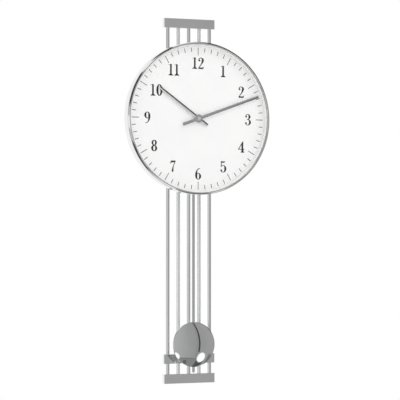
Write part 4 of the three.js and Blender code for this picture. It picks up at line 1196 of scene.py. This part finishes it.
def make_pendulum_magnet():
    low, high = box_mm("pendulum_magnet")
    stand_in("pendulum_magnet", pillar(high.x, low.y, high.y, 0.3, at=(0, MAGNET_Z)),
             "turned_steel", "pendulum")


def make_pendulum_strip():
    """Flat polished strip with a keyhole eye at the top and a round tip."""
    low, high = box_mm("pendulum_strip")
    half = STRIP_HALF_WIDTH
    eye_radius = high.x
    eye_z = high.z - eye_radius
    bar_top = eye_z - eye_radius + 1
    outline = arc(half, (0, low.z + half), 180, 360, 20) + [(half, bar_top), (-half, bar_top)]
    eye = prism(circle(eye_radius, (0, eye_z)), low.y, high.y)
    strip = joined(prism(outline, low.y, high.y), eye)
    peg_hole = drill(EYE_HOLE_RADIUS, (0, HOOK_Z), low.y, high.y)
    entry_hole = drill(EYE_ENTRY_RADIUS, (0, HOOK_Z - EYE_ENTRY_DROP), low.y, high.y)
    strip = softened(cut(strip, joined(peg_hole, entry_hole)), 0.12, 2, 60)
    stand_in("pendulum_strip", strip, "chrome", "pendulum")


def dome(radius, height, rim_y, inset, steps):
    """Profile of a domed disc from the middle of its front to its rim."""
    sphere = (radius ** 2 + height ** 2) / (2 * height)
    centre_y = rim_y - height + sphere
    reach = math.asin((radius - inset) / (sphere - inset))
    turns = [reach * step / steps for step in range(steps + 1)]
    return [((sphere - inset) * math.sin(turn), centre_y - (sphere - inset) * math.cos(turn))
            for turn in turns]


def make_bob():
    """Domed shell with a flat plate behind it."""
    low, high = box_mm("bob_front")
    at = seat("bob_front")
    radius = half_width("bob_front")
    rim_y = low.y + BOB_DOME_HEIGHT
    dome_radius = radius - 0.25
    outside = dome(dome_radius, BOB_DOME_HEIGHT, rim_y, 0.0, 40)
    inside = dome(dome_radius, BOB_DOME_HEIGHT, rim_y, BOB_WALL, 16)[::-1]
    edge = [(radius, rim_y + 0.3), (radius, high.y), (radius - BOB_WALL, high.y)]
    stand_in("bob_front", turned(outside + edge + inside, BOB_SIDES, at), "chrome", "bob",
             material=BOB_CHROME)
    low, high = box_mm("bob_back")
    plate = pillar(half_width("bob_back"), low.y, high.y, 0.2, sides=BOB_SIDES, at=at)
    stand_in("bob_back", plate, "pan_steel", "bob")


def make_bob_clip():
    """Bent spring strip that grips the pendulum strip; drawn in section and carried along Z."""
    low, high = box_mm("bob_clip")
    foot_back = low.y + CLIP_SHEET
    inner = [(-high.x, low.y), (-CLIP_HALF_GAP, low.y), (-CLIP_HALF_GAP, high.y - CLIP_SHEET)]
    outer = [(-CLIP_HALF_GAP - CLIP_SHEET, high.y), (-CLIP_HALF_GAP - CLIP_SHEET, foot_back),
             (-high.x, foot_back)]
    section = inner + [(-x, y) for x, y in reversed(inner)] + [(-x, y) for x, y in reversed(outer)] + outer
    clip = prism(rounded(section, 0.2, 3), low.z, high.z, "Z")
    stand_in("bob_clip", softened(clip, 0.1, 2, 60), "zinc_steel", "bob")


# -------- CAD nodes that stay

KEPT_NODES = {
    "black_plastic": ["movement_front_shell"],
    "brass": ["fixing_nut"],
    "zinc_steel": ["battery_contact_top", "battery_contact_bottom", "stepper_stator"],
    "board_green": ["circuit_board"],
    "copper_wire": ["stepper_coil", "pendulum_coil"],
    "gear_plastic": ["centre_wheel", "minute_wheel", "hour_wheel", "third_wheel", "seconds_wheel"],
    "weight_iron": ["bob_weight"],
}


def dress_kept_nodes():
    for slot, nodes in KEPT_NODES.items():
        for node in nodes:
            for material_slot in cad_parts[node].material_slots:
                material_slot.material = FINISHES[slot]


# -------- studio

def make_floor():
    low = cad_box[0]
    floor = bmesh.new()
    bmesh.ops.create_circle(floor, cap_ends=True, segments=96, radius=FLOOR_RADIUS * MM)
    mesh = bpy.data.meshes.new("studio_floor")
    floor.to_mesh(mesh)
    floor.free()
    paint = (noise(3.0), (0.85, 0.85, 0.85), (0.88, 0.88, 0.88))
    mesh.materials.append(finish("floor_paint", 0.0, tint=paint, Roughness=0.6))
    stage = bpy.data.objects.new("studio_floor", mesh)
    stage.location = (0, 0, low[2] - FLOOR_DROP * MM)
    stage.visible_glossy = False
    bpy.context.collection.objects.link(stage)


def add_lamp(name, place, power, size):
    """Soft square lamp that faces the middle of the dial; polished metal doesn't mirror it."""
    data = bpy.data.lights.new(name, "AREA")
    data.energy = power
    data.size = size
    lamp = bpy.data.objects.new(name, data)
    lamp.location = place
    lamp.rotation_euler = (-Vector(place)).to_track_quat("-Z", "Y").to_euler()
    lamp.visible_glossy = False
    bpy.context.collection.objects.link(lamp)


# the studio that polished metal mirrors, in degrees round from the front and degrees up:
# grey levels all round, then panels laid over them one after another
ROOM_ROUND = [(-180, 0.95), (-153, 0.95), (-146, 0.33), (-95, 0.38), (-60, 0.6), (-40, 0.52),
              (-25, 0.47), (-10, 0.44), (2, 0.4), (15, 0.375), (22.5, 0.365), (27, 0.31), (36, 0.37),
              (50, 0.385), (62, 0.4), (116, 0.4), (124, 0.95), (180, 0.95)]
# left, right, bottom, top, softness, grey level
PANELS = [
    (-125, -46, 15, 51, 3, 0.05),         # black cards on the left, with lit gaps between them
    (-125, -46, -56, -22, 3, 0.05),
    (-95, -58, -8, 4.5, 2, 0.95),
    (-110, -38, 51, 66, 2, 0.95),
    (-180, -5, 67, 90, 3, 0.05),
    (76, 158, 16, 62, 3, 0.03),           # black card on the right, and what stands under it
    (84, 150, -46, 16, 4, 0.32),
    (67, 88, -42, -22, 4, 0.2),
    (68, 92, -57, -46, 3, 0.95),
    (30.2, 34.6, -20.5, 90, 1, 0.06),     # narrow gap beside the camera
    (-60, 62, -62, -37.5, 1, 0.28),       # table edge
    (-22, 30, -38.8, -37.2, 0.6, 0.19),
    (33, 60, -62, -40, 3, 0.1),
    (-11, 1, -62, -44, 2, 0.14),
    (-80, 0, -90, -61, 3, 0.95),
    (38, 112, -90, -58, 3, 0.12),
]
# round from the front, up, radius, softness
SOFT_BOXES = [(45.5, -32.5, 11, 2), (-36, -34, 11, 2)]
SOFT_BOX_LEVEL = 1.3


def math_node(tree, operation, *values):
    node = add_node(tree, "Math")
    node.operation = operation
    for socket, value in zip(node.inputs, values):
        feed(tree, socket, value)
    return node.outputs["Value"]


def fade(tree, value, middle_at, softness):
    """0 well below middle_at, 1 well above it."""
    node = add_node(tree, "MapRange", Value=value,
                    From_Min=middle_at - softness, From_Max=middle_at + softness)
    node.interpolation_type = "SMOOTHSTEP"
    return node.outputs["Result"]


def within(tree, value, low, high, softness):
    """1 between low and high, 0 outside."""
    return math_node(tree, "SUBTRACT", fade(tree, value, low, softness), fade(tree, value, high, softness))


def laid_over(tree, below, level, cover):
    """The grey value below, replaced by a level where cover is 1."""
    return add_node(tree, "Mix", Factor=cover, A=below, B=level).outputs["Result"]


def room_brightness(tree):
    """Grey level of the mirrored room in each direction."""
    direction = add_node(tree, "TexCoord").outputs["Generated"]
    parts = add_node(tree, "SeparateXYZ", Vector=direction)
    forward = math_node(tree, "MULTIPLY", parts.outputs["Y"], -1.0)
    around = math_node(tree, "DEGREES", math_node(tree, "ARCTAN2", parts.outputs["X"], forward))
    up = math_node(tree, "DEGREES", math_node(tree, "ARCSINE", parts.outputs["Z"]))
    share = math_node(tree, "ADD", math_node(tree, "DIVIDE", around, 360.0), 0.5)
    ramp = add_node(tree, "ValToRGB", Fac=share)
    elements = ramp.color_ramp.elements
    for element in list(elements)[1:]:
        elements.remove(element)
    for index, (degrees, level) in enumerate(ROOM_ROUND):
        position = degrees / 360 + 0.5
        element = elements[0] if index == 0 else elements.new(position)
        element.position = position
        element.color = (level, level, level, 1)
    total = ramp.outputs["Color"]
    for left, right, bottom, top, softness, level in PANELS:
        sides = within(tree, around, left, right, softness)
        ends = within(tree, up, bottom, top, softness)
        total = laid_over(tree, total, level, math_node(tree, "MULTIPLY", sides, ends))
    for round_degrees, up_degrees, radius, softness in SOFT_BOXES:
        turn = math.radians(round_degrees)
        rise = math.radians(up_degrees)
        reach = math.cos(rise)
        toward = add_node(tree, "VectorMath")
        toward.operation = "DOT_PRODUCT"
        toward.inputs[1].default_value = (math.sin(turn) * reach, -math.cos(turn) * reach, math.sin(rise))
        tree.links.new(direction, toward.inputs[0])
        away = math_node(tree, "DEGREES", math_node(tree, "ARCCOSINE", toward.outputs["Value"]))
        inside = math_node(tree, "SUBTRACT", 1.0, fade(tree, away, radius, softness))
        total = laid_over(tree, total, SOFT_BOX_LEVEL, inside)
    return total


def make_world():
    """White to the camera, an even wash for matt surfaces, and the studio's panels for polished ones."""
    world = bpy.data.worlds.new("studio")
    bpy.context.scene.world = world
    world.use_nodes = True
    tree = world.node_tree
    path = add_node(tree, "LightPath")
    wash = tree.nodes["Background"]
    wash.inputs["Color"].default_value = (1, 1, 1, 1)
    wash.inputs["Strength"].default_value = WASH
    room = add_node(tree, "Background", Color=room_brightness(tree))
    white = add_node(tree, "Background", Color=(1, 1, 1, 1))
    shader = wash.outputs["Background"]
    for ray, instead in (("Is Glossy Ray", room), ("Is Camera Ray", white)):
        mix = add_node(tree, "MixShader", Fac=path.outputs[ray])
        tree.links.new(shader, mix.inputs[1])
        tree.links.new(instead.outputs["Background"], mix.inputs[2])
        shader = mix.outputs["Shader"]
    tree.links.new(shader, tree.nodes["World Output"].inputs["Surface"])


def make_camera():
    data = bpy.data.cameras.new("camera")
    data.lens = CAMERA_LENS
    data.sensor_width = CAMERA_SENSOR
    data.clip_end = CAMERA_REACH
    camera = bpy.data.objects.new("camera", data)
    camera.location = Vector(CAMERA_PLACE) * MM
    camera.rotation_euler = (math.radians(90 + CAMERA_PITCH), 0, math.radians(-CAMERA_YAW))
    bpy.context.collection.objects.link(camera)
    bpy.context.scene.camera = camera


def make_studio():
    make_camera()
    make_floor()
    make_world()
    add_lamp("key_lamp", KEY_LAMP_PLACE, KEY_LAMP_POWER, KEY_LAMP_SIZE)
    bpy.context.scene.view_settings.view_transform = "Standard"


# -------- assembly

make_studio()
make_bars()
make_rods()
make_wall_fixings()
make_case_band()
make_bezel()
make_glass()
make_spacer_ring()
make_back_pan()
make_dial()
make_hands()
make_rear_shell()
make_battery()
make_setting_knob()
make_pivot_pin()
make_pendulum_hanger()
make_pendulum_magnet()
make_pendulum_strip()
make_bob()
make_bob_clip()
dress_kept_nodes()
